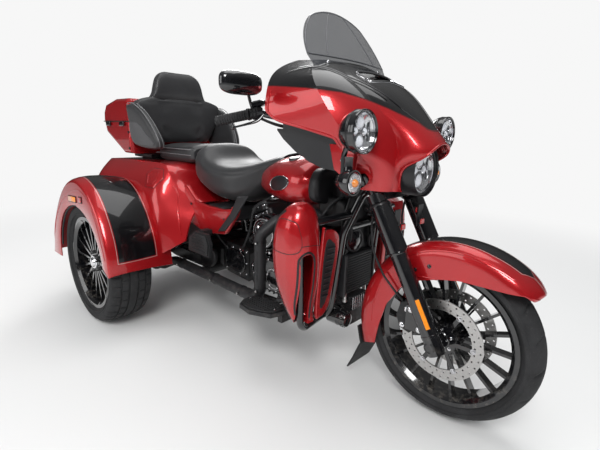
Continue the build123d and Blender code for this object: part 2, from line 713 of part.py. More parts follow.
# Rider's seat: side outline cut to its plan, over the frame and the tank's tail
SEAT_SIDE = (
    (-370, 858), (-368, 930), (-330, 950), (-280, 938), (-236, 892), (-140, 866), (-20, 866), (80, 884),
    (140, 912), (176, 918), (188, 900), (150, 850), (110, 764), (40, 700), (0, 688), (-157, 668),
    (-330, 712), (-366, 760),
)
SEAT_PLAN = ((-372, 186), (-240, 204), (-100, 196), (0, 160), (90, 100), (192, 56))
with BuildPart() as rider_seat:
    add(polygon_slab(SEAT_SIDE, 210, 420))
    with BuildSketch(Plane.XY.offset(600)):
        with BuildLine():
            Polyline(*[(x, -y) for x, y in SEAT_PLAN], *reversed(SEAT_PLAN), close=True)
        make_face()
    extrude(amount=400, mode=Mode.INTERSECT)
    add(tank_room, mode=Mode.SUBTRACT)
    add(polygon_slab(((-400, 560), (-400, 618), (60, 796), (300, 806), (300, 560)), 34, 68), mode=Mode.SUBTRACT)
    add(frame_backbone.part, mode=Mode.SUBTRACT)
    add(body_outside, mode=Mode.SUBTRACT)
save(rider_seat.part, "rider_seat")

# Trunk: a tub with a frame that fills the rear body's end, and its hatch hung from two hinges
TUB_HALF, TUB_LOW, TUB_TOP, TUB_FRONT, TUB_WALL = 232.0, 452.0, 784.0, -790.0, 5.0
PIN_R, KNUCKLE_R, PIN_PLAY, HINGE_HALF = 2.5, 5.0, 0.05, 20.0
TRUNK_HINGE_X, TRUNK_HINGE_Y, TRUNK_HINGE_Z = -1311.5, 140.0, 790.0
with BuildPart() as trunk_tub:
    with BuildSketch(front_view(-1300)):
        add(body_section(BODY[0][1:], BODY_SKIN))
    extrude(amount=6)
    with BuildSketch(front_view(-1300)):
        with Locations((0, (TUB_LOW + TUB_TOP) / 2)):
            Rectangle(2 * TUB_HALF, TUB_TOP - TUB_LOW)
    extrude(amount=TUB_FRONT + 1300)
    with BuildSketch(front_view(-1300)):
        with Locations((0, (TUB_LOW + TUB_TOP) / 2)):
            Rectangle(2 * (TUB_HALF - TUB_WALL), TUB_TOP - TUB_LOW - 2 * TUB_WALL)
    extrude(amount=TUB_FRONT + 1300 - TUB_WALL, mode=Mode.SUBTRACT)
    # Outer knuckles, leaves and pins
    for side in (-1, 1):
        with BuildSketch(side_view(side * TRUNK_HINGE_Y + HINGE_HALF)):
            with Locations((TRUNK_HINGE_X, TRUNK_HINGE_Z)):
                Circle(PIN_R)
        extrude(amount=2 * HINGE_HALF)
        with BuildSketch(side_view(side * (TRUNK_HINGE_Y + HINGE_HALF / 2) + HINGE_HALF / 2)):
            with Locations((TRUNK_HINGE_X, TRUNK_HINGE_Z)):
                Circle(KNUCKLE_R)
            with Locations((TRUNK_HINGE_X + 8, TRUNK_HINGE_Z - 1)):
                Rectangle(14, 4)
        extrude(amount=HINGE_HALF)
save(trunk_tub.part, "trunk_tub")

HATCH = ((-246, 782), (246, 782), (324, 690), (324, 412), (-324, 412), (-324, 690))
with BuildPart() as trunk_hatch:
    with BuildSketch(front_view(-1322)) as hatch_face:
        with BuildLine():
            Polyline(*HATCH, close=True)
        make_face()
        fillet(hatch_face.vertices().filter_by_position(Axis.Y, 600, 900), 50)
    extrude(amount=21.5)
    fillet(trunk_hatch.faces().sort_by(Axis.X)[0].edges(), 10)
    for side in (-1, 1):
        with BuildSketch(side_view(side * (TRUNK_HINGE_Y - HINGE_HALF / 2 - 0.3) + HINGE_HALF / 2)):
            with Locations((TRUNK_HINGE_X, TRUNK_HINGE_Z)):
                Circle(KNUCKLE_R)
            with Locations((TRUNK_HINGE_X, TRUNK_HINGE_Z - 8)):
                Rectangle(5, 14)
            with Locations((TRUNK_HINGE_X, TRUNK_HINGE_Z)):
                Circle(PIN_R + PIN_PLAY, mode=Mode.SUBTRACT)
        extrude(amount=HINGE_HALF)
save(trunk_hatch.part, "trunk_hatch")

# Rear bumper bar on two posts under the tub
with BuildPart() as rear_bumper:
    add(round_bar([(-1270, -318, 380), (TAIL_X + 16, -262, 376), (TAIL_X + 16, 262, 376), (-1270, 318, 380)],
                  16, (40, 40)))
    for side in (-1, 1):
        add(polygon_slab(((TAIL_X + 14, 366), (TAIL_X + 14, 384), (-1290, 396), (-1290, TUB_LOW), (-1250, TUB_LOW),
                          (-1262, 366)), side * 180 + 15, 30))
save(rear_bumper.part, "rear_bumper")

# Tail lamps on the rear body's slanted corners
with BuildPart() as tail_lamps:
    for side in (-1, 1):
        with BuildSketch(side_view(side * 388 + 24)):
            with Locations((-1206, 610)):
                RectangleRounded(56, 128, 14)
        extrude(amount=48)
    add(body_outside, mode=Mode.SUBTRACT)
save(tail_lamps.part, "tail_lamps")

# Rear fenders: crowned arches lofted across, hollow over the wheel, with a round side opening
ARCH = (
    # point on the crown, point that its arc passes through
    ((-300, 352), (-326, 500)),
    ((-404, 640), (-506, 744)),
    ((-640, 786), (-800, 748)),
    ((-940, 640), (-1080, 470)),
    ((-1146, 300), None),
)
FENDER_STATIONS = (
    # y, height and length against the crown's, 1 at the highest
    (440, 0.972),
    (572, 1.0),
    (HALF_WIDTH, 0.968),
)
INNER_STATION = (400, 0.950)
ARCH_X, ARCH_Z = -700.0, 40.0


def arch_form(skin):
    """The right fender's solid form, smaller by a skin and open through its inner side."""
    with BuildPart() as form:
        for y, share in FENDER_STATIONS:
            if skin and (y, share) == FENDER_STATIONS[0]:
                y, share = INNER_STATION
            y = y - skin if y == HALF_WIDTH else y
            shrink = share - skin / 560

            def at(point):
                return (ARCH_X + (point[0] - ARCH_X) * shrink, ARCH_Z + (point[1] - ARCH_Z) * shrink)

            with BuildSketch(side_view(-y)):
                with BuildLine():
                    for (start, through), (end, _) in zip(ARCH[:-1], ARCH[1:]):
                        ThreePointArc(at(start), at(through), at(end))
                    if skin:
                        Polyline(at(ARCH[-1][0]), at((-1150, 100)), at((-300, 100)), at(ARCH[0][0]))
                    else:
                        Line(at(ARCH[-1][0]), at(ARCH[0][0]))
                make_face()
        loft()
    return form.part


OPENING_X, OPENING_Z, OPENING_R = -686.0, 326.0, 305.0
arch_outside = arch_form(0.0)
arch_inside = arch_form(5.0)
with BuildPart() as rear_fenders:
    add(arch_outside)
    add(arch_inside, mode=Mode.SUBTRACT)
    with BuildSketch(side_view(-600)):
        with Locations((OPENING_X, OPENING_Z)):
            Circle(OPENING_R)
        with Locations((OPENING_X, OPENING_Z - 150)):
            Rectangle(2 * OPENING_R, 300)
    extrude(amount=200, mode=Mode.SUBTRACT)
    add(body_outside, mode=Mode.SUBTRACT)
    mirror(about=Plane.XZ)
save(rear_fenders.part, "rear_fenders")

# Rear axle: housing tubes, final drive, wheel stubs, and the swing arms from their pivot
AXLE_TUBE_R = 36.0
with BuildPart() as rear_axle:
    for radius, half in ((REAR_STUB_R, WHEEL_Y + HUB_HALF), (AXLE_TUBE_R, WHEEL_Y - HUB_HALF - 6), (92, 75)):
        with BuildSketch(side_view(half)):
            with Locations((REAR_AXLE_X, REAR_TYRE_R)):
                Circle(radius)
        extrude(amount=2 * half)
    with BuildSketch(side_view(200)):
        with Locations((PIVOT_X, PIVOT_Z)):
            Circle(24)
    extrude(amount=400)
    for side in (-1, 1):
        add(polygon_slab(((PIVOT_X + 26, 306), (PIVOT_X + 26, 354), (REAR_AXLE_X, 350), (REAR_AXLE_X, 300)),
                         side * 190 + 16, 32))
    add(frame_cradle.part, mode=Mode.SUBTRACT)
save(rear_axle.part, "rear_axle")

# Passenger's seat, backrest and arm pads
with BuildPart() as passenger_seat:
    add(polygon_slab(((-376, 858), (-376, 930), (-420, 950), (-700, 940), (-764, 930), (-764, 834), (-430, 838)),
                     186, 372))
    add(body_outside, mode=Mode.SUBTRACT)
save(passenger_seat.part, "passenger_seat")
CASE_FRONT, LID_CLEAR_X = -870.0, -864.0
with BuildPart() as backrest:
    add(polygon_slab(((-766, 934), (-786, 1160), (-778, 1240), (-792, 1336), (-822, 1366), (-850, 1346),
                      (LID_CLEAR_X, 1240), (LID_CLEAR_X, 1062), (CASE_FRONT, 1060), (CASE_FRONT, 934)), 150, 300))
    add(polygon_slab(((-784, 940), (-800, 1130), (-830, 1196), (LID_CLEAR_X, 1200), (LID_CLEAR_X, 1062),
                      (CASE_FRONT, 1060), (CASE_FRONT, 940)), 240, 480))
save(backrest.part, "backrest")
with BuildPart() as arm_pads:
    add(polygon_slab(((LID_CLEAR_X, 1000), (LID_CLEAR_X, 1150), (-760, 1152), (-640, 1096), (-524, 1000),
                      (-508, 944), (-540, 916), (-700, 916)), -240, 56))
    mirror(about=Plane.XZ)
save(arm_pads.part, "arm_pads")

# Luggage case: hollow base and lid, hinged on its left side by two pairs of knuckles
CASE_HALF, CASE_SEAM, CASE_WALL = 292.0, 1066.0, 5.0
CASE_BASE = ((CASE_FRONT, 874), (-980, 874), (-1214, 990), (-1244, CASE_SEAM), (CASE_FRONT, CASE_SEAM))
CASE_LID = ((CASE_FRONT, CASE_SEAM + SEAT_GAP), (-1246, CASE_SEAM + SEAT_GAP), (-1240, 1120), (-1204, 1166), (-1060, 1195),
            (-900, 1195), (CASE_FRONT, 1176))
HINGE_Y, HINGE_Z = CASE_HALF + 8, CASE_SEAM + SEAT_GAP / 2
LEAF_BACK = CASE_HALF - 2
HINGES = (-1150, -970)
with BuildPart() as case_base:
    add(polygon_slab(CASE_BASE, CASE_HALF, 2 * CASE_HALF))
    fillet(case_base.faces().filter_by(Axis.Y).edges().filter_by(lambda e: e.center().Z < CASE_SEAM - 2), 24)
    offset(amount=-CASE_WALL, openings=case_base.faces().sort_by(Axis.Z)[-1])
    # The rear knuckle of each hinge, its leaf and the pin through both knuckles
    for x in HINGES:
        with BuildSketch(front_view(x - HINGE_HALF)):
            with Locations((HINGE_Y, HINGE_Z)):
                Circle(KNUCKLE_R)
            with Locations(((LEAF_BACK + HINGE_Y) / 2, CASE_SEAM - 8)):
                Rectangle(HINGE_Y - LEAF_BACK, 14)
        extrude(amount=HINGE_HALF)
        with BuildSketch(front_view(x - HINGE_HALF)):
            with Locations((HINGE_Y, HINGE_Z)):
                Circle(PIN_R)
        extrude(amount=2 * HINGE_HALF)
save(case_base.part, "case_base")
with BuildPart() as case_lid:
    add(polygon_slab(CASE_LID, CASE_HALF, 2 * CASE_HALF))
    fillet(case_lid.faces().filter_by(Axis.Y).edges().filter_by(lambda e: e.center().Z > CASE_SEAM + 4), 24)
    offset(amount=-CASE_WALL, openings=case_lid.faces().sort_by(Axis.Z)[0])
    for x in HINGES:
        with BuildSketch(front_view(x + SEAT_GAP)):
            with Locations((HINGE_Y, HINGE_Z)):
                Circle(KNUCKLE_R)
            with Locations(((LEAF_BACK + HINGE_Y) / 2, CASE_SEAM + SEAT_GAP + 7)):
                Rectangle(HINGE_Y - LEAF_BACK, 12)
            with Locations((HINGE_Y, HINGE_Z)):
                Circle(PIN_R + PIN_PLAY, mode=Mode.SUBTRACT)
        extrude(amount=HINGE_HALF)
save(case_lid.part, "case_lid")
with BuildPart() as case_rails:
    for side in (-1, 1):
        add(polygon_slab(((-768, 830), (-768, 852), (-884, 874), (-978, 874), (-1010, 830)),
                         side * 150 + 14, 28))
    add(body_outside, mode=Mode.SUBTRACT)
save(case_rails.part, "case_rails")

# Side covers under the seat, joined by the tray between them
COVER = ((-330, 748), (-235, 672), (0, 662), (130, 696), (112, 652), (22, 544), (-190, 528), (-300, 560))
with BuildPart() as side_covers:
    for side in (-1, 1):
        add(polygon_slab(COVER, side * 260 + 14, 28))
    with BuildSketch(Plane.XY.offset(575)):
        with Locations((-120, 0)):
            RectangleRounded(130, 520, 10)
    extrude(amount=86)
    add(frame_backbone.part, mode=Mode.SUBTRACT)
    add(body_outside, mode=Mode.SUBTRACT)
    add(rider_seat.part, mode=Mode.SUBTRACT)
    add(cylinders.part, mode=Mode.SUBTRACT)
save(side_covers.part, "side_covers")

# Engine guard: a hoop each side from the cradle, through the lower fairing
GUARD_R = 15.0
GUARD = ((534, -136, 276), (576, -332, 284), (572, -340, 700), (616, -96, 716))
with BuildPart() as engine_guard:
    for side in (-1, 1):
        add(round_bar([(x, -side * y, z) for x, y, z in GUARD], GUARD_R, (50, 50)))
    add(frame_cradle.part, mode=Mode.SUBTRACT)
save(engine_guard.part, "engine_guard")

# Lower fairings: hollow pods round the guard, each with a slot down its front
LOWER = (
    # z, inner y, outer y, rear x, front x
    (318, -268, -352, 540, 604),
    (440, -242, -384, 470, 612),
    (560, -236, -394, 444, 620),
    (660, -236, -392, 448, 614),
    (738, -248, -374, 480, 596),
    (776, -286, -334, 524, 566),
)


def pod_form(skin):
    with BuildPart() as form:
        for z, inner, outer, rear, front in LOWER:
            length, width = front - rear - 2 * skin, inner - outer - 2 * skin
            z = z - skin if z == LOWER[-1][0] else z + skin if z == LOWER[0][0] else z
            with BuildSketch(Plane.XY.offset(z)):
                with Locations(((rear + front) / 2, (inner + outer) / 2)):
                    RectangleRounded(length, width, min(length, width) * 0.44)
        loft()
    return form.part


pod_outside = pod_form(0.0)
pod_inside = pod_form(5.0)
with BuildPart() as lower_fairings:
    add(pod_outside)
    add(pod_inside, mode=Mode.SUBTRACT)
    with BuildSketch(front_view(560)):
        with BuildLine():
            Polyline((-348, 250), (-364, 400), (-368, 560))
            ThreePointArc((-368, 560), (-342, 600), (-316, 560))
            Polyline((-316, 560), (-318, 400), (-316, 250), (-348, 250))
        make_face()
    extrude(amount=100, mode=Mode.SUBTRACT)
    mirror(about=Plane.XZ)
    add(engine_guard.part, mode=Mode.SUBTRACT)
save(lower_fairings.part, "lower_fairings")

# Footboards: the rider's on brackets from the cradle, the passenger's folded up on arms
RIDER_BOARD = ((232, 330), (244, 282), (300, 258), (430, 258), (446, 300), (430, 352), (340, 390), (262, 378))
PASSENGER_BOARD = ((-190, 436), (-16, 436), (-8, 500), (-30, 546), (-130, 546), (-184, 510))
with BuildPart() as footboards:
    with BuildSketch(Plane.XY.offset(288)):
        with BuildLine():
            Polyline(*[(x, -y) for x, y in RIDER_BOARD], close=True)
        make_face()
    extrude(amount=18)
    with BuildSketch(Plane.XY.offset(246)):
        with Locations((320, -210), (420, -210)):
            Rectangle(24, 160)
    extrude(amount=42)
    add(polygon_slab(PASSENGER_BOARD, -322, 18))
    add(polygon_slab(((-120, 530), (-120, 552), (-80, 552), (-80, 530)), -274, 50))
    mirror(about=Plane.XZ)
    add(frame_cradle.part, mode=Mode.SUBTRACT)
    add(crankcase.part, mode=Mode.SUBTRACT)
    add(exhaust.part, mode=Mode.SUBTRACT)
save(footboards.part, "footboards")
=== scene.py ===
import math

import bpy
import bmesh
from mathutils import Matrix, Vector
from mathutils.bvhtree import BVHTree


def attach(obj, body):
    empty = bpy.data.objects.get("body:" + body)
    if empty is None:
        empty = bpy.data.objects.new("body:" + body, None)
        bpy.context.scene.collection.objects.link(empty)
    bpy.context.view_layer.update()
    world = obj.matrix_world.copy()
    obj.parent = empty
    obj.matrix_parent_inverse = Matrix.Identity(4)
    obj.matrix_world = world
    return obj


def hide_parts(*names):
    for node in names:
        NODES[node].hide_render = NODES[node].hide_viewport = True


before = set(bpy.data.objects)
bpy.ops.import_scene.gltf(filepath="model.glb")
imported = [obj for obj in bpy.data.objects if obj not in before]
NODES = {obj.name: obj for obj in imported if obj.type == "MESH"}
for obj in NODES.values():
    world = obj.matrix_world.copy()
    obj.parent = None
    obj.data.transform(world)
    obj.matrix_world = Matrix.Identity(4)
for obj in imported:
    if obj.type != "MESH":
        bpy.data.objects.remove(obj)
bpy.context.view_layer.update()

# Motorized trike.
# Metres, +X forward, +Y to the rider's left, +Z up, origin on the ground under the box's centre.

HANDS = ((-1, "right"), (1, "left"))
FRONT_HUB = (1.016, 0, 0.319)
REAR_HUB_X, REAR_HUB_Y, REAR_HUB_Z = -0.654, 0.566, 0.325
HEAD_LAMP_AT = (0.858, 0, 0.904)

# Camera at the photograph's place
CAMERA_PLACE = Vector((1.534, -1.370, 1.036))
CAMERA_YAW, CAMERA_PITCH, CAMERA_ROLL = math.radians(133.1), math.radians(-13.3), math.radians(1.45)
SENSOR_WIDTH = 36.0
FOCAL_PIXELS, PICTURE_PIXELS = 401.0, 600.0
camera_data = bpy.data.cameras.new("camera")
camera_data.sensor_width = SENSOR_WIDTH
camera_data.lens = FOCAL_PIXELS * SENSOR_WIDTH / PICTURE_PIXELS
camera = bpy.data.objects.new("camera", camera_data)
bpy.context.scene.collection.objects.link(camera)
ahead = Vector((math.cos(CAMERA_YAW) * math.cos(CAMERA_PITCH), math.sin(CAMERA_YAW) * math.cos(CAMERA_PITCH),
                math.sin(CAMERA_PITCH)))
right = ahead.cross(Vector((0, 0, 1))).normalized()
up = right.cross(ahead)
right_rolled = right * math.cos(CAMERA_ROLL) + up * math.sin(CAMERA_ROLL)
up_rolled = up * math.cos(CAMERA_ROLL) - right * math.sin(CAMERA_ROLL)
turn = Matrix((right_rolled, up_rolled, -ahead)).transposed().to_4x4()
camera.matrix_world = Matrix.Translation(CAMERA_PLACE) @ turn
bpy.context.scene.camera = camera

bpy.context.scene.view_settings.view_transform = "Standard"


# Shader expressions

class Val:
    """A socket in a node tree, with arithmetic that adds Math nodes."""

    def __init__(self, tree, socket):
        self.tree, self.socket = tree, socket

    def math(self, operation, *others):
        node = self.tree.nodes.new("ShaderNodeMath")
        node.operation = operation
        self.tree.links.new(self.socket, node.inputs[0])
        for k, other in enumerate(others):
            if isinstance(other, Val):
                self.tree.links.new(other.socket, node.inputs[k + 1])
            else:
                node.inputs[k + 1].default_value = other
        return Val(self.tree, node.outputs[0])

    def __add__(self, other):
        return self.math("ADD", other)

    def __sub__(self, other):
        return self.math("SUBTRACT", other)

    def __mul__(self, other):
        return self.math("MULTIPLY", other)

    def __neg__(self):
        return self.math("MULTIPLY", -1.0)

    def abs(self):
        return self.math("ABSOLUTE")

    def least(self, other):
        return self.math("MINIMUM", other)

    def most(self, other):
        return self.math("MAXIMUM", other)

    def step(self, low, high):
        """0 below low, 1 above high, smooth between."""
        node = self.tree.nodes.new("ShaderNodeMapRange")
        node.interpolation_type = "SMOOTHSTEP"
        node.inputs["From Min"].default_value = low
        node.inputs["From Max"].default_value = high
        self.tree.links.new(self.socket, node.inputs["Value"])
        return Val(self.tree, node.outputs["Result"])

    def between(self, low, high, soft=0.0006):
        return self.step(low - soft, low + soft) * (-self).step(-high - soft, -high + soft)

    def through(self, points):
        """A curve through (input, output) points, by straight steps of a colour ramp."""
        lows = [p[0] for p in points]
        outs = [p[1] for p in points]
        span, low_out, high_out = lows[-1] - lows[0], min(outs), max(outs)
        ramp = self.tree.nodes.new("ShaderNodeValToRGB")
        stops = ramp.color_ramp.elements
        while len(stops) < len(points):
            stops.new(0.5)
        for stop, (value, out) in zip(stops, points):
            stop.position = (value - lows[0]) / span
            level = (out - low_out) / (high_out - low_out)
            stop.color = (level, level, level, 1)
        place = (self - lows[0]) * (1 / span)
        self.tree.links.new(place.socket, ramp.inputs["Fac"])
        return Val(self.tree, ramp.outputs["Color"]) * (high_out - low_out) + low_out


class Shade:
    """One procedural material."""

    def __init__(self, name, colour, rough, metal=0.0, **sockets):
        self.material = bpy.data.materials.new(name)
        self.material.use_nodes = True
        self.tree = self.material.node_tree
        self.bsdf = self.tree.nodes["Principled BSDF"]
        self.colour = colour
        self.bsdf.inputs["Base Color"].default_value = (*colour, 1)
        self.bsdf.inputs["Roughness"].default_value = rough
        self.bsdf.inputs["Metallic"].default_value = metal
        for key, value in sockets.items():
            self.bsdf.inputs[key.replace("_", " ")].default_value = value
        self.coords = self.tree.nodes.new("ShaderNodeTexCoord").outputs["Object"]
        self.height = None
        self.base = None

    def place(self):
        """The point's x, y and z in the row frame."""
        node = self.tree.nodes.new("ShaderNodeSeparateXYZ")
        self.tree.links.new(self.coords, node.inputs[0])
        return [Val(self.tree, out) for out in node.outputs]

    def noise(self, scale, detail=4.0, rough=0.55, stretch=None):
        node = self.tree.nodes.new("ShaderNodeTexNoise")
        node.inputs["Scale"].default_value = scale
        node.inputs["Detail"].default_value = detail
        node.inputs["Roughness"].default_value = rough
        source = self.coords
        if stretch:
            mapping = self.tree.nodes.new("ShaderNodeMapping")
            mapping.inputs["Scale"].default_value = stretch
            self.tree.links.new(self.coords, mapping.inputs["Vector"])
            source = mapping.outputs["Vector"]
        self.tree.links.new(source, node.inputs["Vector"])
        return Val(self.tree, node.outputs["Fac"])

    def cells(self, scale, feature="F1"):
        node = self.tree.nodes.new("ShaderNodeTexVoronoi")
        node.feature = feature
        node.inputs["Scale"].default_value = scale
        self.tree.links.new(self.coords, node.inputs["Vector"])
        return Val(self.tree, node.outputs["Distance"])

    def tint(self, amount, colour):
        """Mixes a colour over what is there, by an amount from 0 to 1."""
        node = self.tree.nodes.new("ShaderNodeMix")
        node.data_type = "RGBA"
        self.tree.links.new(amount.socket, node.inputs["Factor"])
        if self.base is None:
            node.inputs["A"].default_value = (*self.colour, 1)
        else:
            self.tree.links.new(self.base, node.inputs["A"])
        node.inputs["B"].default_value = (*colour, 1)
        self.base = node.outputs["Result"]
        return self

    def dusty(self, clean_above, full_below, scale, patches, amount):
        """Patches of dust that fade out with height."""
        dust = (-self.place()[2]).step(-clean_above, -full_below) * self.noise(scale).step(*patches)
        return self.tint(dust * amount, DUST)

    def roughness(self, value, low, high):
        """Roughness that follows a value from 0 to 1."""
        mapped = value * (high - low) + low
        self.tree.links.new(mapped.socket, self.bsdf.inputs["Roughness"])
        return self

    def bump(self, value, depth, strength=1.0):
        node = self.tree.nodes.new("ShaderNodeBump")
        node.inputs["Distance"].default_value = depth
        node.inputs["Strength"].default_value = strength
        self.tree.links.new(value.socket, node.inputs["Height"])
        if self.height is not None:
            self.tree.links.new(self.height, node.inputs["Normal"])
        self.height = node.outputs["Normal"]
        return self

    def done(self):
        if self.base is not None:
            self.tree.links.new(self.base, self.bsdf.inputs["Base Color"])
        if self.height is not None:
            self.tree.links.new(self.height, self.bsdf.inputs["Normal"])
        return self.material


RED = (0.50, 0.008, 0.012)
RED_DEEP = (0.22, 0.003, 0.006)
BLACK = (0.005, 0.005, 0.0062)
PINSTRIPE = (0.55, 0.53, 0.50)
DUST = (0.30, 0.27, 0.23)


def candy(name, marks=None):
    """Red metal-flake paint under clear coat. marks adds other colours by place."""
    shade = Shade(name, RED, 0.30, 0.45, Coat_Weight=1.0, Coat_Roughness=0.03, Specular_IOR_Level=0.4)
    flake = shade.cells(1800.0)
    shade.tint(flake.step(0.35, 0.75) * 0.5, RED_DEEP)
    shade.tint(shade.noise(3.5).step(0.45, 0.75) * 0.25, RED_DEEP)
    if marks:
        marks(shade)
    shade.dusty(0.42, 0.12, 38.0, (0.42, 0.72), 0.22)
    shade.roughness(flake.step(0.2, 0.8), 0.24, 0.36)
    shade.bump(shade.noise(55.0, 2.0), 0.0004, 0.25)
    return shade.done()


def plain(name, colour, rough, metal=0.0, grain=220.0, depth=0.0002, worn=None, **sockets):
    """Paint, plastic or metal with fine grain, uneven gloss and a little dust."""
    shade = Shade(name, colour, rough, metal, **sockets)
    uneven = shade.noise(14.0)
    lighter = tuple(min(1.0, c * 1.5 + 0.006) for c in colour) if worn is None else worn
    shade.tint(uneven.step(0.45, 0.8) * 0.45, lighter)
    shade.dusty(0.45, 0.10, 45.0, (0.45, 0.75), 0.25)
    shade.roughness(uneven, max(0.02, rough - 0.06), min(1.0, rough + 0.10))
    shade.bump(shade.noise(grain, 3.0), depth, 0.5)
    return shade.done()


def fairing_marks(shade):
    x, _, z = shade.place()
    seam = x.through(((0.30, 1.196), (0.415, 1.190), (0.554, 1.178), (0.665, 1.163), (0.715, 1.145),
                      (0.772, 1.117), (0.851, 1.072), (0.878, 1.050), (1.0, 0.99)))
    above = z - seam
    shade.tint(above.step(-0.0008, 0.0008), BLACK)
    # A thin dark red line just under the seam is painted shade in the seam's recess.
    shade.tint(above.between(-0.0024, -0.0006) * 0.8, (0.10, 0.002, 0.003))


def front_fender_marks(shade):
    x, y, z = shade.place()
    half = x.through(((0.60, 0.040), (1.15, 0.044), (1.235, 0.036), (1.262, 0.0), (1.5, -0.01)))
    inside = half - y.abs()
    high = z.step(0.55, 0.56)
    shade.tint(inside.step(-0.0006, 0.0006) * high, BLACK)
    shade.tint(inside.between(-0.0042, -0.0022) * high, PINSTRIPE)


def rear_fender_marks(shade):
    x, y, z = shade.place()
    side = y.abs()
    tail = x + (side - 0.43) * -1.17 + 0.966
    inside = (side * -1.0 + 0.640).least(side - 0.452).least(tail).least(z - 0.405)
    shade.tint(inside.step(-0.0008, 0.0008), BLACK)
    shade.tint(inside.between(-0.0062, -0.0042), PINSTRIPE)


def vinyl(name, colour, rough):
    """Smooth black vinyl with fine pebble grain and a worn sheen."""
    shade = Shade(name, colour, rough, 0.0, Specular_IOR_Level=0.5, Sheen_Weight=0.08, Sheen_Roughness=0.4)
    pebble = shade.cells(620.0, "SMOOTH_F1")
    shade.tint(shade.noise(6.0).step(0.42, 0.75) * 0.55, tuple(c * 1.6 for c in colour))
    shade.roughness(shade.noise(9.0), rough - 0.06, rough + 0.10)
    shade.bump(pebble, 0.0006, 0.22)
    shade.bump(shade.noise(24.0, 3.0), 0.0016, 0.20)
    return shade.done()


def rubber(name, colour=(0.018, 0.018, 0.019), rough=0.78):
    shade = Shade(name, colour, rough, 0.0, Specular_IOR_Level=0.35)
    shade.tint(shade.noise(11.0).step(0.4, 0.75) * 0.5, tuple(c * 2.2 for c in colour))
    shade.tint(shade.noise(160.0).step(0.55, 0.8) * 0.25, (0.11, 0.10, 0.09))
    shade.roughness(shade.noise(30.0), rough - 0.12, rough + 0.08)
    shade.bump(shade.noise(420.0), 0.0004, 0.35)
    return shade.done()


def metal(name, colour, rough, grain=(1, 1, 60)):
    """Ground or cast bare metal, with marks along one direction."""
    shade = Shade(name, colour, rough, 1.0)
    streak = shade.noise(30.0, 5.0, 0.6, grain)
    shade.tint(streak.step(0.40, 0.75) * 0.35, tuple(c * 0.62 for c in colour))
    shade.roughness(streak, rough * 0.75, min(1.0, rough * 1.4))
    shade.bump(streak, 0.0002, 0.25)
    return shade.done()


def glass(name, colour, rough, alpha_see):
    """Thin clear or tinted plastic: see-through by mixing with a transparent shader."""
    shade = Shade(name, colour, rough, 0.0, Coat_Weight=0.6, Coat_Roughness=0.02, Specular_IOR_Level=0.6)
    haze = shade.noise(7.0, 3.0)
    shade.tint(haze.step(0.4, 0.8) * 0.3, tuple(min(1.0, c * 1.5 + 0.01) for c in colour))
    seen = haze * 0.06 + alpha_see
    shade.tree.links.new(seen.socket, shade.bsdf.inputs["Alpha"])
    return shade.done()


def glowing(name, colour, rough, light):
    shade = Shade(name, colour, rough, 0.0, Coat_Weight=1.0, Coat_Roughness=0.03,
                  Emission_Color=(*colour, 1), Emission_Strength=light)
    ribs = shade.noise(90.0, 2.0, 0.5, (1, 6, 1))
    shade.tint(ribs.step(0.4, 0.7) * 0.4, tuple(c * 0.55 for c in colour))
    shade.bump(ribs, 0.0006, 0.4)
    return shade.done()


M = {
    "red": candy("red_paint"),
    "red_fairing": candy("fairing_paint", fairing_marks),
    "red_front": candy("front_fender_paint", front_fender_marks),
    "red_rear": candy("rear_fender_paint", rear_fender_marks),
    "black": plain("gloss_black", BLACK, 0.12, Coat_Weight=1.0, Coat_Roughness=0.03, depth=0.00008),
    "satin": plain("satin_black", (0.009, 0.009, 0.0105), 0.36, depth=0.0002),
    "wrinkle": plain("wrinkle_black", (0.009, 0.009, 0.010), 0.52, grain=900.0, depth=0.0006),
    "matt": plain("matt_black", (0.011, 0.011, 0.0125), 0.50, grain=500.0, depth=0.0003),
    "plastic": plain("grained_plastic", (0.009, 0.009, 0.0105), 0.40, grain=1400.0, depth=0.0004),
    "grey": plain("grey_trim", (0.075, 0.078, 0.085), 0.35, grain=300.0),
    "chrome": metal("chrome", (0.80, 0.80, 0.82), 0.10, (1, 1, 1)),
    "steel": metal("ground_steel", (0.52, 0.51, 0.50), 0.30, (6, 1, 6)),
    "fin_edge": metal("machined_edges", (0.62, 0.62, 0.64), 0.25, (1, 8, 1)),
    "vinyl": vinyl("seat_vinyl", (0.026, 0.026, 0.0275), 0.37),
    "vinyl_side": vinyl("seat_side_vinyl", (0.060, 0.061, 0.064), 0.46),
    # Seat piping is a real bead, but its light grey colour is a painted highlight along the pad edges.
    "piping_highlight": plain("seat_piping_painted_highlight", (0.16, 0.16, 0.165), 0.40, grain=900.0),
    "tyre": rubber("tyre_rubber"),
    "rubber": rubber("moulded_rubber", (0.014, 0.014, 0.015), 0.62),
    "smoke": glass("smoked_screen", (0.045, 0.048, 0.055), 0.05, 0.60),
    "lens": glass("clear_lens", (0.30, 0.31, 0.33), 0.04, 0.07),
    "bowl": metal("bright_bowl", (0.86, 0.87, 0.89), 0.08, (1, 1, 1)),
    "led": glowing("lamp_elements", (0.85, 0.87, 0.92), 0.15, 0.25),
    # amber and red_lens glow by emission: the light of the lamps, and a painted glow where they sit on the
    # fork's reflectors.
    "amber": glowing("amber_lens", (0.85, 0.26, 0.02), 0.12, 0.12),
    "red_lens": glowing("red_lens", (0.45, 0.008, 0.008), 0.12, 0.06),
    "screen_edge": plain("screen_edge", (0.10, 0.10, 0.11), 0.10, grain=500.0, Coat_Weight=0.6,
                         Coat_Roughness=0.03),
    "reflector": plain("lamp_reflector", (0.66, 0.67, 0.69), 0.16, metal=0.35),
    "plate": plain("blank_plate", (0.70, 0.70, 0.67), 0.45, grain=300.0),
    "mirror": metal("mirror_glass", (0.82, 0.84, 0.86), 0.02, (1, 1, 1)),
}

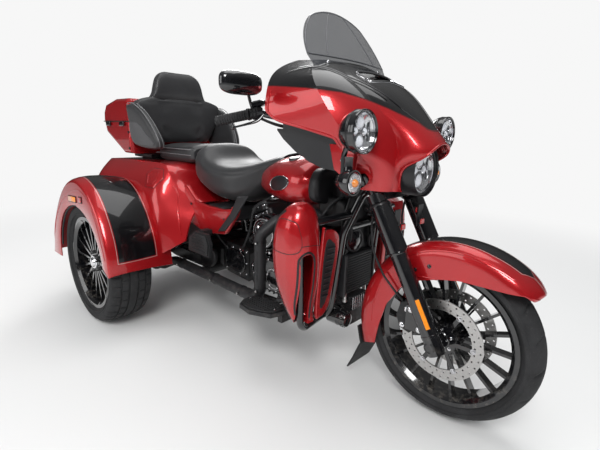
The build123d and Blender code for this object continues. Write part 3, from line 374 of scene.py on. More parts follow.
NODE_MATERIALS = {
    "front_wheel": "black", "rear_wheel_right": "black", "rear_wheel_left": "black", "fork": "black",
    "calipers": "wrinkle", "front_fender": "red_front", "fender_flap": "rubber", "brake_hoses": "rubber",
    "fairing": "red_fairing", "dash": "plastic", "windshield": "smoke", "turn_signals": "black",
    "handlebar": "black", "mirrors": "black", "frame_backbone": "black", "frame_cradle": "black",
    "crankcase": "wrinkle", "cylinders": "satin", "engine_covers": "black", "air_cleaner": "black",
    "exhaust": "matt", "regulator": "satin", "rear_body": "red", "trunk_tub": "plastic",
    "trunk_hatch": "red", "rear_bumper": "black", "tail_lamps": "red_lens", "rear_fenders": "red_rear",
    "rear_axle": "satin", "case_base": "red", "case_lid": "red", "case_rails": "satin",
    "side_covers": "red", "engine_guard": "black", "lower_fairings": "red", "footboards": "matt",
    "front_discs": "steel", "headlamp": "black", "aux_lamps": "black", "fuel_tank": "red",
    "rider_seat": "vinyl", "passenger_seat": "vinyl", "backrest": "vinyl", "arm_pads": "vinyl",
    "front_tyre": "tyre", "rear_tyre_right": "tyre", "rear_tyre_left": "tyre",
}
for node, key in NODE_MATERIALS.items():
    held = NODES[node].data.materials
    held.clear()
    held.append(M[key])


# Geometry gathered into pieces

def catmull(points, count, closed=False):
    """Points on a smooth curve through the given ones, of any dimension."""
    n = len(points)
    spans = n if closed else n - 1
    out = []
    for k in range(count):
        at = k * spans / (count if closed else count - 1)
        i = min(int(at), spans - 1)
        t = at - i
        if closed:
            p = [points[(i + d) % n] for d in (-1, 0, 1, 2)]
        else:
            p = [points[min(max(i + d, 0), n - 1)] for d in (-1, 0, 1, 2)]
        out.append(tuple(
            0.5 * (2 * b + (c - a) * t + (2 * a - 5 * b + 4 * c - d) * t * t
                   + (3 * b - a - 3 * c + d) * t ** 3)
            for a, b, c, d in zip(*p)))
    return out


def round_angles(count, shift=0.0):
    """Angles at even steps of one turn."""
    return [2 * math.pi * (k + shift) / count for k in range(count)]


def squared(value, power):
    """A cosine or sine drawn towards 1, which squares a circle off."""
    return math.copysign(abs(value) ** power, value)


def across(direction):
    """Two unit vectors across a direction."""
    d = Vector(direction).normalized()
    side = d.cross(Vector((0, 0, 1)))
    if side.length < 0.1:
        side = d.cross(Vector((0, 1, 0)))
    side.normalize()
    return side, d.cross(side)


class Group:
    """Forms gathered into one piece, each with its own material."""

    def __init__(self, name, body):
        self.name, self.body = name, body
        self.verts, self.faces, self.marks, self.keys = [], [], [], []

    def add(self, verts, faces, key, smooth=True):
        if key not in self.keys:
            self.keys.append(key)
        start = len(self.verts)
        self.verts.extend(Vector(v) for v in verts)
        for face in faces:
            self.faces.append([start + i for i in face])
            self.marks.append((self.keys.index(key), smooth))
        return self

    def grid(self, rows, key, ends=True, loop=False, smooth=True):
        """Faces between closed rows of points. loop joins the last row to the first."""
        n = len(rows[0])
        verts = [p for row in rows for p in row]
        faces = []
        for i in range(len(rows) - (0 if loop else 1)):
            j = (i + 1) % len(rows)
            for k in range(n):
                m = (k + 1) % n
                faces.append((i * n + k, i * n + m, j * n + m, j * n + k))
        if ends and not loop:
            faces.append(tuple(range(n))[::-1])
            faces.append(tuple((len(rows) - 1) * n + k for k in range(n)))
        return self.add(verts, faces, key, smooth)

    def lathe(self, profile, origin, axis, key, sides=48, smooth=True, closed=False):
        """A profile of (along, radius) turned about an axis. A closed profile makes a ring."""
        d = Vector(axis).normalized()
        u, v = across(d)
        origin = Vector(origin)
        rows = []
        for along, radius in profile:
            rows.append([origin + d * along + (u * math.cos(a) + v * math.sin(a)) * max(radius, 1e-5)
                         for a in round_angles(sides)])
        return self.grid(rows, key, ends=not closed, loop=closed, smooth=smooth)

    def tube(self, points, radius, key, sides=12, steps=None, flat=1.0):
        """A round bar along a smooth curve. radius is one number or one for each point."""
        if steps is None:
            steps = 6 * (len(points) - 1) + 1
        radii = radius if isinstance(radius, (list, tuple)) else [radius] * len(points)
        line = catmull([(*p, r) for p, r in zip(points, radii)], steps)
        rows, side = [], None
        for i, q in enumerate(line):
            here = Vector(q[:3])
            way = Vector(line[min(i + 1, steps - 1)][:3]) - Vector(line[max(i - 1, 0)][:3])
            way.normalize()
            if side is None:
                side = across(way)[0]
            side = (side - way * side.dot(way)).normalized()
            other = way.cross(side)
            rows.append([here + (side * math.cos(a) + other * math.sin(a) * flat) * q[3]
                         for a in round_angles(sides)])
        return self.grid(rows, key)

    def slab(self, outline, normal, thick, key, round_edge=0.0):
        """A plate with this outline of points in space, thick along normal, with rounded edges."""
        normal = Vector(normal).normalized()
        points = [Vector(p) for p in outline]
        middle = sum(points, Vector()) / len(points)
        n = len(points)
        inward = []
        for i in range(n):
            way = (points[(i + 1) % n] - points[i - 1]).normalized()
            side = normal.cross(way).normalized()
            if side.dot(middle - points[i]) < 0:
                side = -side
            inward.append(side)
        rows = []
        steps = 4 if round_edge else 0
        for k in range(steps + 1):
            a = math.pi / 2 * k / max(steps, 1)
            inset = round_edge * (1 - math.sin(a))
            height = round_edge * (1 - math.cos(a))
            rows.append([p + s * inset + normal * height for p, s in zip(points, inward)])
        top = []
        for row in rows:
            top.append([p + normal * (thick - 2 * (p - q).dot(normal)) for p, q in zip(row, points)])
        return self.grid(rows + list(reversed(top)), key)

    def side_slab(self, side, y, outline, thick, key, round_edge=0.0):
        """A slab that faces out to one side from y, with an outline of (x, z) points."""
        return self.slab([(x, side * y, z) for x, z in outline], (0, side, 0), thick, key, round_edge)

    def front_slab(self, x, outline, thick, key, round_edge=0.0):
        """A slab that faces forward from x, with an outline of (y, z) points."""
        return self.slab([(x, y, z) for y, z in outline], (1, 0, 0), thick, key, round_edge)

    def box(self, centre, size, key, turn=None, edge=0.002):
        """A block with small chamfers."""
        centre = Vector(centre)
        hx, hy, hz = (s / 2 for s in size)
        e = min(edge, hx * 0.45, hy * 0.45, hz * 0.45)
        rings = []
        for z, inset in ((-hz, e), (-hz + e, 0), (hz - e, 0), (hz, e)):
            x, y = hx - inset, hy - inset
            c = min(e, x, y)
            ring = [(x, -y + c), (x, y - c), (x - c, y), (-x + c, y), (-x, y - c), (-x, -y + c), (-x + c, -y),
                    (x - c, -y)]
            rings.append([Vector((px, py, z)) for px, py in ring])
        if turn is not None:
            rings = [[turn @ p for p in ring] for ring in rings]
        return self.grid([[centre + p for p in ring] for ring in rings], key, smooth=False)

    def bolt(self, place, normal, radius, key="chrome", tall=0.5, hexed=True):
        """A washer with a domed hexagon or round head."""
        place, normal = Vector(place), Vector(normal).normalized()
        self.lathe([(0, radius * 1.35), (radius * 0.2, radius * 1.3), (radius * 0.22, radius)], place, normal,
                   key, 16, smooth=False)
        sides = 6 if hexed else 16
        self.lathe([(0, radius), (radius * tall * 1.6, radius), (radius * tall * 2, radius * 0.7)], place,
                   normal, key, sides, smooth=False)
        return self

    def bolt_ring(self, centre, reach, count, shift, way, radius):
        """Bolts in a circle about an axis across the trike."""
        for a in round_angles(count, shift):
            self.bolt(Vector(centre) + Vector((reach * math.cos(a), 0, reach * math.sin(a))), way, radius)

    def make(self, slot=None, sub=0, sharp=40.0, replaces=(), fill=None):
        mesh = bpy.data.meshes.new(self.name)
        mesh.from_pydata([tuple(v) for v in self.verts], [], self.faces)
        for key in self.keys:
            mesh.materials.append(M[key])
        mesh.polygons.foreach_set("material_index", [m for m, _ in self.marks])
        mesh.polygons.foreach_set("use_smooth", [s for _, s in self.marks])
        form = bmesh.new()
        form.from_mesh(mesh)
        bmesh.ops.recalc_face_normals(form, faces=form.faces)
        form.to_mesh(mesh)
        form.free()
        mesh.set_sharp_from_angle(angle=math.radians(sharp))
        made = bpy.data.objects.new(self.name, mesh)
        bpy.context.scene.collection.objects.link(made)
        if sub:
            smoother = made.modifiers.new("smooth", "SUBSURF")
            smoother.levels = smoother.render_levels = sub
        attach(made, self.body)
        if replaces:
            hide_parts(*replaces)
        return made


# Tyres, with their tread cut into the crown

# Outer radius, half width, seat radius, bead half, shoulder half, shoulder drop
REAR_TYRE = (0.325, 0.105, 0.2286, 0.084, 0.088, 0.009)
AXLES = {
    # body: tyre node, centre, then the sizes as above
    "front_wheel": ("front_tyre", FRONT_HUB, 0.319, 0.065, 0.2413, 0.044, 0.046, 0.020),
    "rear_wheel_right": ("rear_tyre_right", (REAR_HUB_X, -REAR_HUB_Y, REAR_HUB_Z), *REAR_TYRE),
    "rear_wheel_left": ("rear_tyre_left", (REAR_HUB_X, REAR_HUB_Y, REAR_HUB_Z), *REAR_TYRE),
}
TYRE_TURNS = 216


def tyre(body):
    node, centre, outer, half, seat, bead, shoulder, drop = AXLES[body]
    front = body == "front_wheel"
    centre = Vector(centre)
    side = [(bead, seat + 0.001), (bead, seat + 0.017), (bead + 0.004, seat + 0.021),
            (half - 0.0075, seat + 0.030), (half - 0.0015, seat + 0.042), (half - 0.0004, seat + 0.047),
            (half - 0.0022, seat + 0.049), (half, outer - drop - 0.024), (half - 0.004, outer - drop - 0.012)]
    depth = 0.0045 if front else 0.0065
    cuts = (0.0,) if front else (-0.060, -0.022, 0.022, 0.060)
    width = 0.0028 if front else 0.0048
    tread = set()
    for cut in cuts:
        for d in (-width, -width + 0.0012, width - 0.0012, width):
            tread.add(round(cut + d, 5))
    for k in range(15):
        tread.add(round(-shoulder + 2 * shoulder * k / 14, 5))
    tread = sorted(tread)

    def crown(y):
        return outer - drop * (abs(y) / shoulder) ** (2.0 if front else 3.0)

    def cut_here(y, i):
        if any(abs(y - cut) <= width - 0.001 for cut in cuts):
            return True
        if front:
            slant = (i + abs(y) * 150) % 24
            return 0.010 < abs(y) < 0.043 and slant < 2
        band = 0 if abs(y) < 0.022 else 1 if abs(y) < 0.060 else 2
        return (i + 3 * band + (2 if y > 0 else 0)) % 6 < 1 and band > 0

    rows = []
    turns = TYRE_TURNS * 2 if front else TYRE_TURNS
    for i, a in enumerate(round_angles(turns)):
        spoke = Vector((math.cos(a), 0, math.sin(a)))
        ring = [(-y, r) for y, r in side]
        for y in tread:
            ring.append((y, crown(y) - (depth if cut_here(y, i) else 0)))
        ring += [(y, r) for y, r in reversed(side)]
        ring += [(bead - 0.010, seat + 0.001), (half - 0.012, seat + 0.045),
                 (shoulder - 0.006, outer - drop - 0.011), (-shoulder + 0.006, outer - drop - 0.011),
                 (-half + 0.012, seat + 0.045), (-bead + 0.010, seat + 0.001)]
        rows.append([centre + spoke * r + Vector((0, y, 0)) for y, r in ring])
    made = Group("tyre_" + body, body)
    made.grid(rows, "tyre", loop=True)
    for y in (-half + 0.0006, half - 0.0006):
        made.lathe([(y - 0.0009, seat + 0.033), (y + 0.0009, seat + 0.033), (y + 0.0009, seat + 0.036),
                    (y - 0.0009, seat + 0.036)], centre, (0, 1, 0), "rubber", 72, closed=True)
    made.make("tyre", sharp=32, replaces=(node,))


for wheel_body in AXLES:
    tyre(wheel_body)


# Soft pads

def ring_section(x, half, low, top, crown, power=0.5, count=72, seams=()):
    """A closed section across the trike at x: rounded box, crowned on top, with seams pressed in by angle."""
    out = []
    for a in round_angles(count, 0.5):
        c, s = math.cos(a), math.sin(a)
        y = half * squared(c, power)
        h = squared(s, power)
        z = (low + top) / 2 + (top - low) / 2 * h
        if s > 0:
            z += crown * (1 - (y / half) ** 2) * s
        press = sum(depth * math.exp(-((abs(math.degrees(math.atan2(s, abs(c)))) - at) / wide) ** 2) *
                    (1 if (s > 0) == (at >= 0) else 0) for at, wide, depth in seams)
        if press:
            centre_z = (low + top) / 2
            y -= math.copysign(press, y) * 0.8
            z -= math.copysign(press, z - centre_z) * 0.5
        out.append(Vector((x, y, z)))
    return out


def closed_ends(rows, pull):
    """Rounds both ends of a lofted pad by rows that shrink to the middle."""
    def cap(row, out):
        middle = sum(row, Vector()) / len(row)
        return [[middle + (p - middle) * s + out * (1 - s ** 2) * pull for p in row]
                for s in (0.96, 0.85, 0.66, 0.42, 0.16)]
    first = (sum(rows[0], Vector()) - sum(rows[1], Vector())) / len(rows[0])
    last = (sum(rows[-1], Vector()) - sum(rows[-2], Vector())) / len(rows[-1])
    return list(reversed(cap(rows[0], first))) + rows + cap(rows[-1], last)


RIDER_SEAT = (
    # x, half width, low z, top z, crown
    (-0.366, 0.168, 0.770, 0.915, 0.008),
    (-0.350, 0.184, 0.745, 0.938, 0.012),
    (-0.325, 0.192, 0.722, 0.946, 0.010),
    (-0.290, 0.198, 0.708, 0.936, 0.002),
    (-0.250, 0.203, 0.698, 0.905, -0.010),
    (-0.200, 0.205, 0.684, 0.884, -0.016),
    (-0.140, 0.203, 0.674, 0.872, -0.014),
    (-0.080, 0.196, 0.672, 0.868, -0.008),
    (-0.020, 0.178, 0.680, 0.870, 0.000),
    (0.040, 0.146, 0.710, 0.878, 0.006),
    (0.090, 0.108, 0.762, 0.890, 0.010),
    (0.140, 0.078, 0.832, 0.904, 0.010),
    (0.176, 0.058, 0.868, 0.906, 0.008),
)


def lofted_pad(name, table, steps, seams, power):
    """A pad that lies along the trike, lofted through a table of sections."""
    rows = [ring_section(*station, power=power, seams=seams) for station in catmull(table, steps)]
    return Group(name, "chassis").grid(closed_ends(rows, 0.3), "vinyl")


seat = lofted_pad("rider_saddle", RIDER_SEAT, 64, seams=((20.0, 2.6, 0.007), (-30.0, 2.2, 0.004)), power=0.62)
seat.make("upholstery", sub=1, sharp=80, replaces=("rider_seat",), fill=0.8)

PASSENGER_SEAT = (
    # x, half width, low z, top z, crown
    (-0.752, 0.172, 0.846, 0.926, 0.008),
    (-0.720, 0.180, 0.842, 0.932, 0.012),
    (-0.640, 0.184, 0.842, 0.934, 0.010),
    (-0.540, 0.184, 0.842, 0.936, 0.010),
    (-0.450, 0.182, 0.842, 0.942, 0.008),
    (-0.410, 0.176, 0.846, 0.940, 0.006),
    (-0.388, 0.166, 0.852, 0.926, 0.004),
)
PIPING_Z = 0.918
seat = lofted_pad("pillion_saddle", PASSENGER_SEAT, 36, seams=((28.0, 2.6, 0.005),), power=0.42)
# Two piping rings round the pillion; their light grey colour is a painted highlight along its edges.
for lift, inset in ((0.0, 0.0), (-0.030, -0.002)):
    rim = [(x, half + 0.001 + inset, PIPING_Z + lift) for x, half, *_ in PASSENGER_SEAT[:-2]]
    rim.append((-0.402, 0.150, PIPING_Z + lift))
    loop = [Vector((x, -y, z)) for x, y, z in rim] + [Vector((x, y, z)) for x, y, z in reversed(rim)]
    line = catmull([tuple(p) for p in loop], 90, closed=True)
    seat.tube(line, 0.0028, "piping_highlight", sides=8, steps=90)
seat.make("upholstery", sub=1, sharp=80, replaces=("passenger_seat",), fill=0.75)


def stood_section(z, half, front, back, power=0.45, count=64, wrap=0.0, seams=()):
    """A closed section of an upright pad at height z. wrap brings its sides forward."""
    out = []
    for a in round_angles(count, 0.5):
        c, s = math.cos(a), math.sin(a)
        y = half * squared(c, power)
        h = squared(s, power)
        x = (front + back) / 2 + (front - back) / 2 * h
        x += wrap * (y / half) ** 2
        for at, wide, depth in seams:
            if s > 0:
                x -= depth * math.exp(-((abs(y) - at) / wide) ** 2)
        out.append(Vector((x, y, z)))
    return out


BACK_MID = (
    # z, half width, front x, back x
    (0.946, 0.190, -0.792, -0.858),
    (0.975, 0.214, -0.778, -0.862),
    (1.040, 0.242, -0.768, -0.863),
    (1.100, 0.266, -0.768, -0.863),
    (1.150, 0.284, -0.774, -0.862),
    (1.176, 0.276, -0.782, -0.861),
    (1.192, 0.240, -0.788, -0.860),
    (1.204, 0.196, -0.794, -0.858),
)
BACK_TOP = (
    # z, half width, front x, back x
    (1.176, 0.226, -0.806, -0.854),
    (1.200, 0.190, -0.790, -0.857),
    (1.230, 0.169, -0.780, -0.858),
    (1.275, 0.157, -0.780, -0.858),
    (1.315, 0.143, -0.788, -0.857),
    (1.342, 0.120, -0.800, -0.852),
    (1.356, 0.090, -0.812, -0.843),
)


def upright_pad(name, table, steps, seams=(), wrap=0.0):
    rows = [stood_section(*station, seams=seams, wrap=wrap) for station in catmull(table, steps)]
    return Group(name, "chassis").grid(closed_ends(rows, 0.3), "vinyl")


back = upright_pad("back_bolster", BACK_MID, 36, seams=((0.122, 0.006, 0.012),), wrap=0.012)
back.make("upholstery", sub=1, sharp=80, replaces=("backrest",), fill=0.8)
upright_pad("head_bolster", BACK_TOP, 28, wrap=0.008).make("upholstery", sub=1, sharp=80, fill=0.85)

ARM_PAD = ((-0.860, 0.950), (-0.862, 1.050), (-0.858, 1.140), (-0.838, 1.164), (-0.770, 1.158),
           (-0.690, 1.118), (-0.620, 1.052), (-0.572, 0.984), (-0.560, 0.942), (-0.582, 0.920),
           (-0.680, 0.916), (-0.800, 0.926))
ARM_Y, ARM_FLARE = 0.276, 0.16
ARM_MID_X, ARM_MID_Z = -0.73, 1.04


def arm_place(side, x, z, out=0.0):
    """A point of an arm pad's middle plane, moved outwards by a length."""
    return (x, side * (ARM_Y + ARM_FLARE * (z - ARM_MID_Z) + out), z)


for side, hand in HANDS:
    outline = [arm_place(side, x, z, -0.026) for x, z in catmull(ARM_PAD, 64, closed=True)]
    pad = Group("arm_pad_" + hand, "chassis").slab(outline, (0, side, -ARM_FLARE), 0.052, "vinyl", 0.020)
    # Two piping tubes round the pad; their light grey colour is a painted highlight on its edges.
    for out in (-0.010, 0.012):
        line = [Vector(arm_place(side, ARM_MID_X + (x - ARM_MID_X) * 1.004,
                                 ARM_MID_Z + (z - ARM_MID_Z) * 1.004, out)) for x,
                z in catmull(ARM_PAD, 64, closed=True)]
        pad.tube(line + line[:1], 0.0024, "piping_highlight", sides=6, steps=130)
    panel = [arm_place(side, x, z, 0.0245) for x,
             z in catmull(((-0.845, 1.050), (-0.738, 1.052), (-0.668, 0.998), (-0.596, 0.938),
                           (-0.700, 0.932), (-0.845, 0.945)), 48, True)]
    pad.slab(panel, (0, side, -ARM_FLARE), 0.004, "vinyl_side", round_edge=0.0018)
    pad.make("upholstery", sub=1, sharp=80, replaces=("arm_pads",) if side < 0 else (), fill=0.85)


# Fuel tank: lofted shell, console and caps

TANK = (
    # x, half width, low z, top z, crown
    (0.018, 0.050, 0.764, 0.816, 0.006),
    (0.060, 0.086, 0.744, 0.846, 0.012),
    (0.125, 0.122, 0.728, 0.871, 0.018),
    (0.200, 0.154, 0.716, 0.892, 0.024),
    (0.280, 0.178, 0.710, 0.902, 0.030),
    (0.350, 0.185, 0.712, 0.902, 0.032),
    (0.405, 0.177, 0.722, 0.894, 0.030),
    (0.440, 0.154, 0.744, 0.880, 0.022),
    (0.456, 0.128, 0.762, 0.866, 0.014),
)
rows = [ring_section(*s, power=0.72, count=96) for s in catmull(TANK, 56)]
tank = Group("tank_shell", "chassis").grid(closed_ends(rows, 0.25), "red")
TANK_SKIN = BVHTree.FromPolygons(tank.verts, tank.faces)
tank.make("red_gloss", sub=1, sharp=80, replaces=("fuel_tank",))
trim = Group("tank_console", "chassis")
console = [(0.120, 0.022), (0.130, 0.034), (0.200, 0.044), (0.290, 0.050), (0.350, 0.046), (0.392, 0.030),
           (0.398, 0.0)]
loop = [(x, y) for x, y in console] + [(x, -y) for x, y in reversed(console[:-1])]
CONSOLE_MID = 0.26
spine = [(0.10, 0.874), (0.20, 0.9155), (0.29, 0.9315), (0.35, 0.933), (0.40, 0.921)]


def tank_top(x):
    for (x0, z0), (x1, z1) in zip(spine[:-1], spine[1:]):
        if x <= x1:
            return z0 + (z1 - z0) * (x - x0) / (x1 - x0)
    return spine[-1][1]


rings = []
for s, lift in ((1.0, -0.006), (1.0, 0.004), (0.94, 0.0085), (0.80, 0.010), (0.5, 0.011), (0.2, 0.0115)):
    spread = [(CONSOLE_MID + (x - CONSOLE_MID) * s, y * s) for x, y in catmull(loop, 60, closed=True)]
    rings.append([Vector((x, y, tank_top(x) + lift)) for x, y in spread])
trim.grid(rings, "black")
for side in (-1, 1):
    cap_at = Vector((0.300, side * 0.092, 0.9145))
    trim.lathe([(-0.006, 0.030), (0.004, 0.030), (0.007, 0.027), (0.008, 0.020), (0.0085, 0.004)], cap_at,
               (0, side * 0.22, 1), "black", 32)
trim.bolt((0.14, 0, 0.899), (0, 0, 1), 0.004, "chrome")
trim.make("black_gloss", sub=0, sharp=40)


# Lamps

def lamp(group, centre, radius, depth, ring_key, elements):
    """A round lamp facing forward: housing, ring, bowl and lit elements; its clear lens is made by lens()."""
    centre = Vector(centre)
    group.lathe([(-depth, radius * 0.42), (-depth * 0.97, radius * 0.55), (-depth * 0.70, radius * 0.80),
                 (-depth * 0.42, radius * 0.955), (-depth * 0.18, radius * 0.985), (-0.004, radius * 0.985),
                 (-0.004, radius * 0.90), (-depth * 0.35, radius * 0.70), (-depth * 0.60, radius * 0.3)],
                centre, (1, 0, 0), "black", 56)
    group.lathe([(-0.006, radius * 0.985), (0.003, radius), (0.0065, radius * 0.985),
                 (0.0075, radius * 0.945), (0.0045, radius * 0.905), (-0.002, radius * 0.895)], centre,
                (1, 0, 0), ring_key, 56, closed=True)
    group.lathe([(-0.006, radius * 0.90), (0.001, radius * 0.898), (0.001, radius * 0.850),
                 (-0.006, radius * 0.845)], centre, (1, 0, 0), "chrome", 56, closed=True)
    for ring_at in (-depth * 0.30, -depth * 0.24):
        group.lathe([(ring_at - 0.002, radius * 0.97), (ring_at, radius * 0.992),
                     (ring_at + 0.002, radius * 0.97)], centre, (1, 0, 0), "satin", 56, closed=True)
    group.lathe([(-0.023, radius * 0.62), (-0.012, radius * 0.82), (-0.003, radius * 0.885),
                 (-0.003, radius * 0.87), (-0.013, radius * 0.80), (-0.023, radius * 0.60)], centre,
                (1, 0, 0), "bowl", 56, closed=True)
    group.lathe([(-0.030, radius * 0.9), (-0.024, radius * 0.86), (-0.0235, radius * 0.1)], centre, (1, 0, 0),
                "satin", 40)
    for y, z, size in elements:
        spot = centre + Vector((-0.021, y * radius, z * radius))
        group.lathe([(0, size * radius), (0.004, size * radius), (0.006, size * radius * 0.82),
                     (0.0045, size * radius * 0.80)], spot, (1, 0, 0), "chrome", 24, closed=True)
        group.lathe([(0.002, size * radius * 0.8), (0.008, size * radius * 0.66),
                     (0.012, size * radius * 0.36), (0.0132, size * radius * 0.05)], spot, (1, 0, 0), "led",
                    24)
    group.box(centre + Vector((-0.016, 0, 0)), (0.010, radius * 1.1, radius * 0.075), "chrome")
    for y in (-0.62, 0.62):
        group.box(centre + Vector((-0.015, y * radius, 0)), (0.012, radius * 0.09, radius * 0.9), "chrome")
    return group


def lens(name, body, centre, radius, bulge):
    made = Group(name, body)
    made.lathe([(-0.001, radius), (bulge * 0.25, radius * 0.96), (bulge * 0.65, radius * 0.72),
                (bulge * 0.92, radius * 0.38), (bulge, radius * 0.04)], centre, (1, 0, 0), "lens", 48)
    made.make("lamp")


ELEMENTS = ((0.0, 0.40, 0.33), (0.0, -0.42, 0.33), (-0.36, 0.02, 0.20), (0.36, 0.02, 0.20))
head = lamp(Group("head_lamp", "steering"), HEAD_LAMP_AT, 0.089, 0.095, "satin", ELEMENTS)
head.lathe([(-0.10, 0.030), (-0.13, 0.026)], HEAD_LAMP_AT, (1, 0, 0), "satin", 20)
head.make("lamp", replaces=("headlamp",))
lens("head_lens", "steering", (0.860, 0, 0.904), 0.0805, 0.010)
for side, hand in HANDS:
    aux = lamp(Group("aux_lamp_" + hand, "steering"), (0.797, side * 0.300, 1.036), 0.070, 0.078, "black",
               ELEMENTS)
    aux.make("lamp", replaces=("aux_lamps",) if side < 0 else ())
    lens("aux_lens_" + hand, "steering", (0.7985, side * 0.300, 1.036), 0.063, 0.0055)
    signal = Group("signal_" + hand, "steering")
    at = Vector((0.768, side * 0.298, 0.872))
    signal.lathe([(-0.004, 0.0335), (0.002, 0.0345), (0.004, 0.0325), (0.002, 0.030)], at, (1, 0, 0),
                 "chrome", 36, closed=True)
    signal.lathe([(0.0005, 0.014), (0.006, 0.0135), (0.013, 0.008), (0.0145, 0.001)], at, (1, 0, 0), "amber",
                 24)
    signal.lathe([(0.0002, 0.030), (0.0012, 0.020), (0.0018, 0.004)], at, (1, 0, 0), "reflector", 36)
    for a in round_angles(8):
        signal.box(at + Vector((0.003, 0.0205 * math.cos(a), 0.0205 * math.sin(a))), (0.004, 0.006, 0.006),
                   "chrome", Matrix.Rotation(a, 3, "X"), 0.001)
    # Bowl behind the lens, the neck that carries it and the red panel beside it
    signal.lathe([(-0.058, 0.004), (-0.056, 0.020), (-0.046, 0.034), (-0.028, 0.0425), (-0.008, 0.0445),
                  (0.001, 0.0425), (0.001, 0.0385), (-0.010, 0.0380)], at, (1, 0, 0), "black", 40)
    signal.lathe([(0, 0.017), (0.006, 0.0155), (0.042, 0.0145), (0.050, 0.017)],
                 at + Vector((-0.026, 0, 0.034)), (0, 0, 1), "black", 24)
    signal.side_slab(side, 0.258, ((0.628, 0.992), (0.652, 0.905), (0.690, 0.882), (0.742, 0.900),
                                   (0.756, 0.992)), 0.0035, "red", round_edge=0.0012)
    signal.bolt((0.690, side * 0.2618, 0.940), (0, side, 0), 0.0080)
    signal.make("lamp")
    lens("signal_lens_" + hand, "steering", at + Vector((0.003, 0, 0)), 0.0305, 0.016)


# Brake discs, drilled, on bolted carriers

DISC_PLACE = Vector(FRONT_HUB)
DRILLED = 30
HOLE_RADIUS = 0.0034


def drilled_ring(group, y_mid, thick, inner, outer, key):
    """A flat ring with round holes in two circles."""
    for side in (-1, 1):
        y = y_mid + side * thick / 2
        verts, faces = [], []
        radii = (inner, (inner + outer) / 2, outer)
        for ring_i, (r0, r1) in enumerate(zip(radii[:-1], radii[1:])):
            mid = (r0 + r1) / 2
            for k in range(DRILLED):
                a0 = 2 * math.pi * (k + 0.5 * ring_i) / DRILLED
                a1 = a0 + 2 * math.pi / DRILLED
                start = len(verts)
                border = []
                for start_r, end_r, start_a, end_a in ((r0, r1, a0, a1), (r1, r0, a1, a0)):
                    border += [(start_r, start_a + (end_a - start_a) * t / 4) for t in range(4)]
                    border += [(start_r + (end_r - start_r) * t / 2, end_a) for t in range(2)]
                am = (a0 + a1) / 2
                hole = []
                for r, a in border:
                    dx, dz = r * math.cos(a) - mid * math.cos(am), r * math.sin(a) - mid * math.sin(am)
                    d = math.hypot(dx, dz)
                    hole.append((mid * math.cos(am) + dx / d * HOLE_RADIUS,
                                 mid * math.sin(am) + dz / d * HOLE_RADIUS))
                n = len(border)
                verts += [DISC_PLACE + Vector((r * math.cos(a), y, r * math.sin(a))) for r, a in border]
                verts += [DISC_PLACE + Vector((x, y, z)) for x, z in hole]
                verts += [DISC_PLACE + Vector((x, y_mid, z)) for x, z in hole]
                for i in range(n):
                    j = (i + 1) % n
                    faces.append((start + i, start + j, start + n + j, start + n + i))
                    faces.append((start + n + i, start + n + j, start + 2 * n + j, start + 2 * n + i))
        group.add(verts, faces, key, smooth=False)
    for radius in (outer, inner):
        group.lathe([(y_mid - thick / 2, radius), (y_mid + thick / 2, radius)], DISC_PLACE, (0, 1, 0), key,
                    DRILLED * 4)
        # The two end caps would close the ring
        del group.faces[-2:]
        del group.marks[-2:]


discs = Group("drilled_discs", "front_wheel")
for side in (-1, 1):
    drilled_ring(discs, side * 0.0645, 0.005, 0.112, 0.150, "steel")
    discs.lathe([(side * 0.0605, 0.020), (side * 0.0605, 0.056), (side * 0.0670, 0.056),
                 (side * 0.0670, 0.020)], DISC_PLACE, (0, 1, 0), "black", 48, closed=True)
    for a in round_angles(6):
        spoke = Vector((math.cos(a), 0, math.sin(a)))
        tangent = Vector((-math.sin(a), 0, math.cos(a)))
        turn = Matrix((spoke, (0, 1, 0), tangent)).transposed()
        discs.box(DISC_PLACE + spoke * 0.082 + Vector((0, side * 0.0645, 0)), (0.064, 0.0052, 0.017), "black",
                  turn)
        discs.bolt(DISC_PLACE + spoke * 0.116 + Vector((0, side * 0.067, 0)), (0, side, 0), 0.0075,
                   "fin_edge", 0.35)
        discs.bolt(DISC_PLACE + (spoke + tangent * 0.5).normalized() * 0.042 + Vector((0, side * 0.067, 0)),
                   (0, side, 0), 0.0048)
discs.make("steel", replaces=("front_discs",))


# Trims laid on the nodes' faces

SKINS = {}
VIEWS = {
    "right": (lambda a, b: Vector((a, -1.5, b)), Vector((0, 1, 0))),
    "left": (lambda a, b: Vector((a, 1.5, b)), Vector((0, -1, 0))),
    "front": (lambda a, b: Vector((2.0, a, b)), Vector((-1, 0, 0))),
    "rear": (lambda a, b: Vector((-2.0, a, b)), Vector((1, 0, 0))),
    "top": (lambda a, b: Vector((a, b, 2.0)), Vector((0, 0, -1))),
}


def on_face(node, view, a, b):
    """The place on a node's face seen at (a, b) from a side, and the face's outward normal."""
    if node not in SKINS:
        mesh, matrix = NODES[node].data, NODES[node].matrix_world
        SKINS[node] = BVHTree.FromPolygons([matrix @ v.co for v in mesh.vertices],
                                           [tuple(p.vertices) for p in mesh.polygons])
    start, way = VIEWS[view]
    place, normal, _, _ = SKINS[node].ray_cast(start(a, b), way)
    if place is None:
        return None
    return place, (-normal if normal.dot(way) > 0 else normal)


def straight(points, count, closed=False):
    """Points at even steps along straight lines between the given ones."""
    ends = list(points) + ([points[0]] if closed else [])
    lengths = [math.dist(p, q) for p, q in zip(ends[:-1], ends[1:])]
    total = sum(lengths)
    out = []
    for k in range(count):
        at = total * k / (count if closed else count - 1)
        i = 0
        while i < len(lengths) - 1 and at > lengths[i]:
            at -= lengths[i]
            i += 1
        t = min(at / lengths[i], 1.0)
        out.append(tuple(p + (q - p) * t for p, q in zip(ends[i], ends[i + 1])))
    return out


BEAD = ((-0.5, 0.0), (-0.40, 0.65), (-0.18, 1.0), (0.18, 1.0), (0.40, 0.65), (0.5, 0.0))


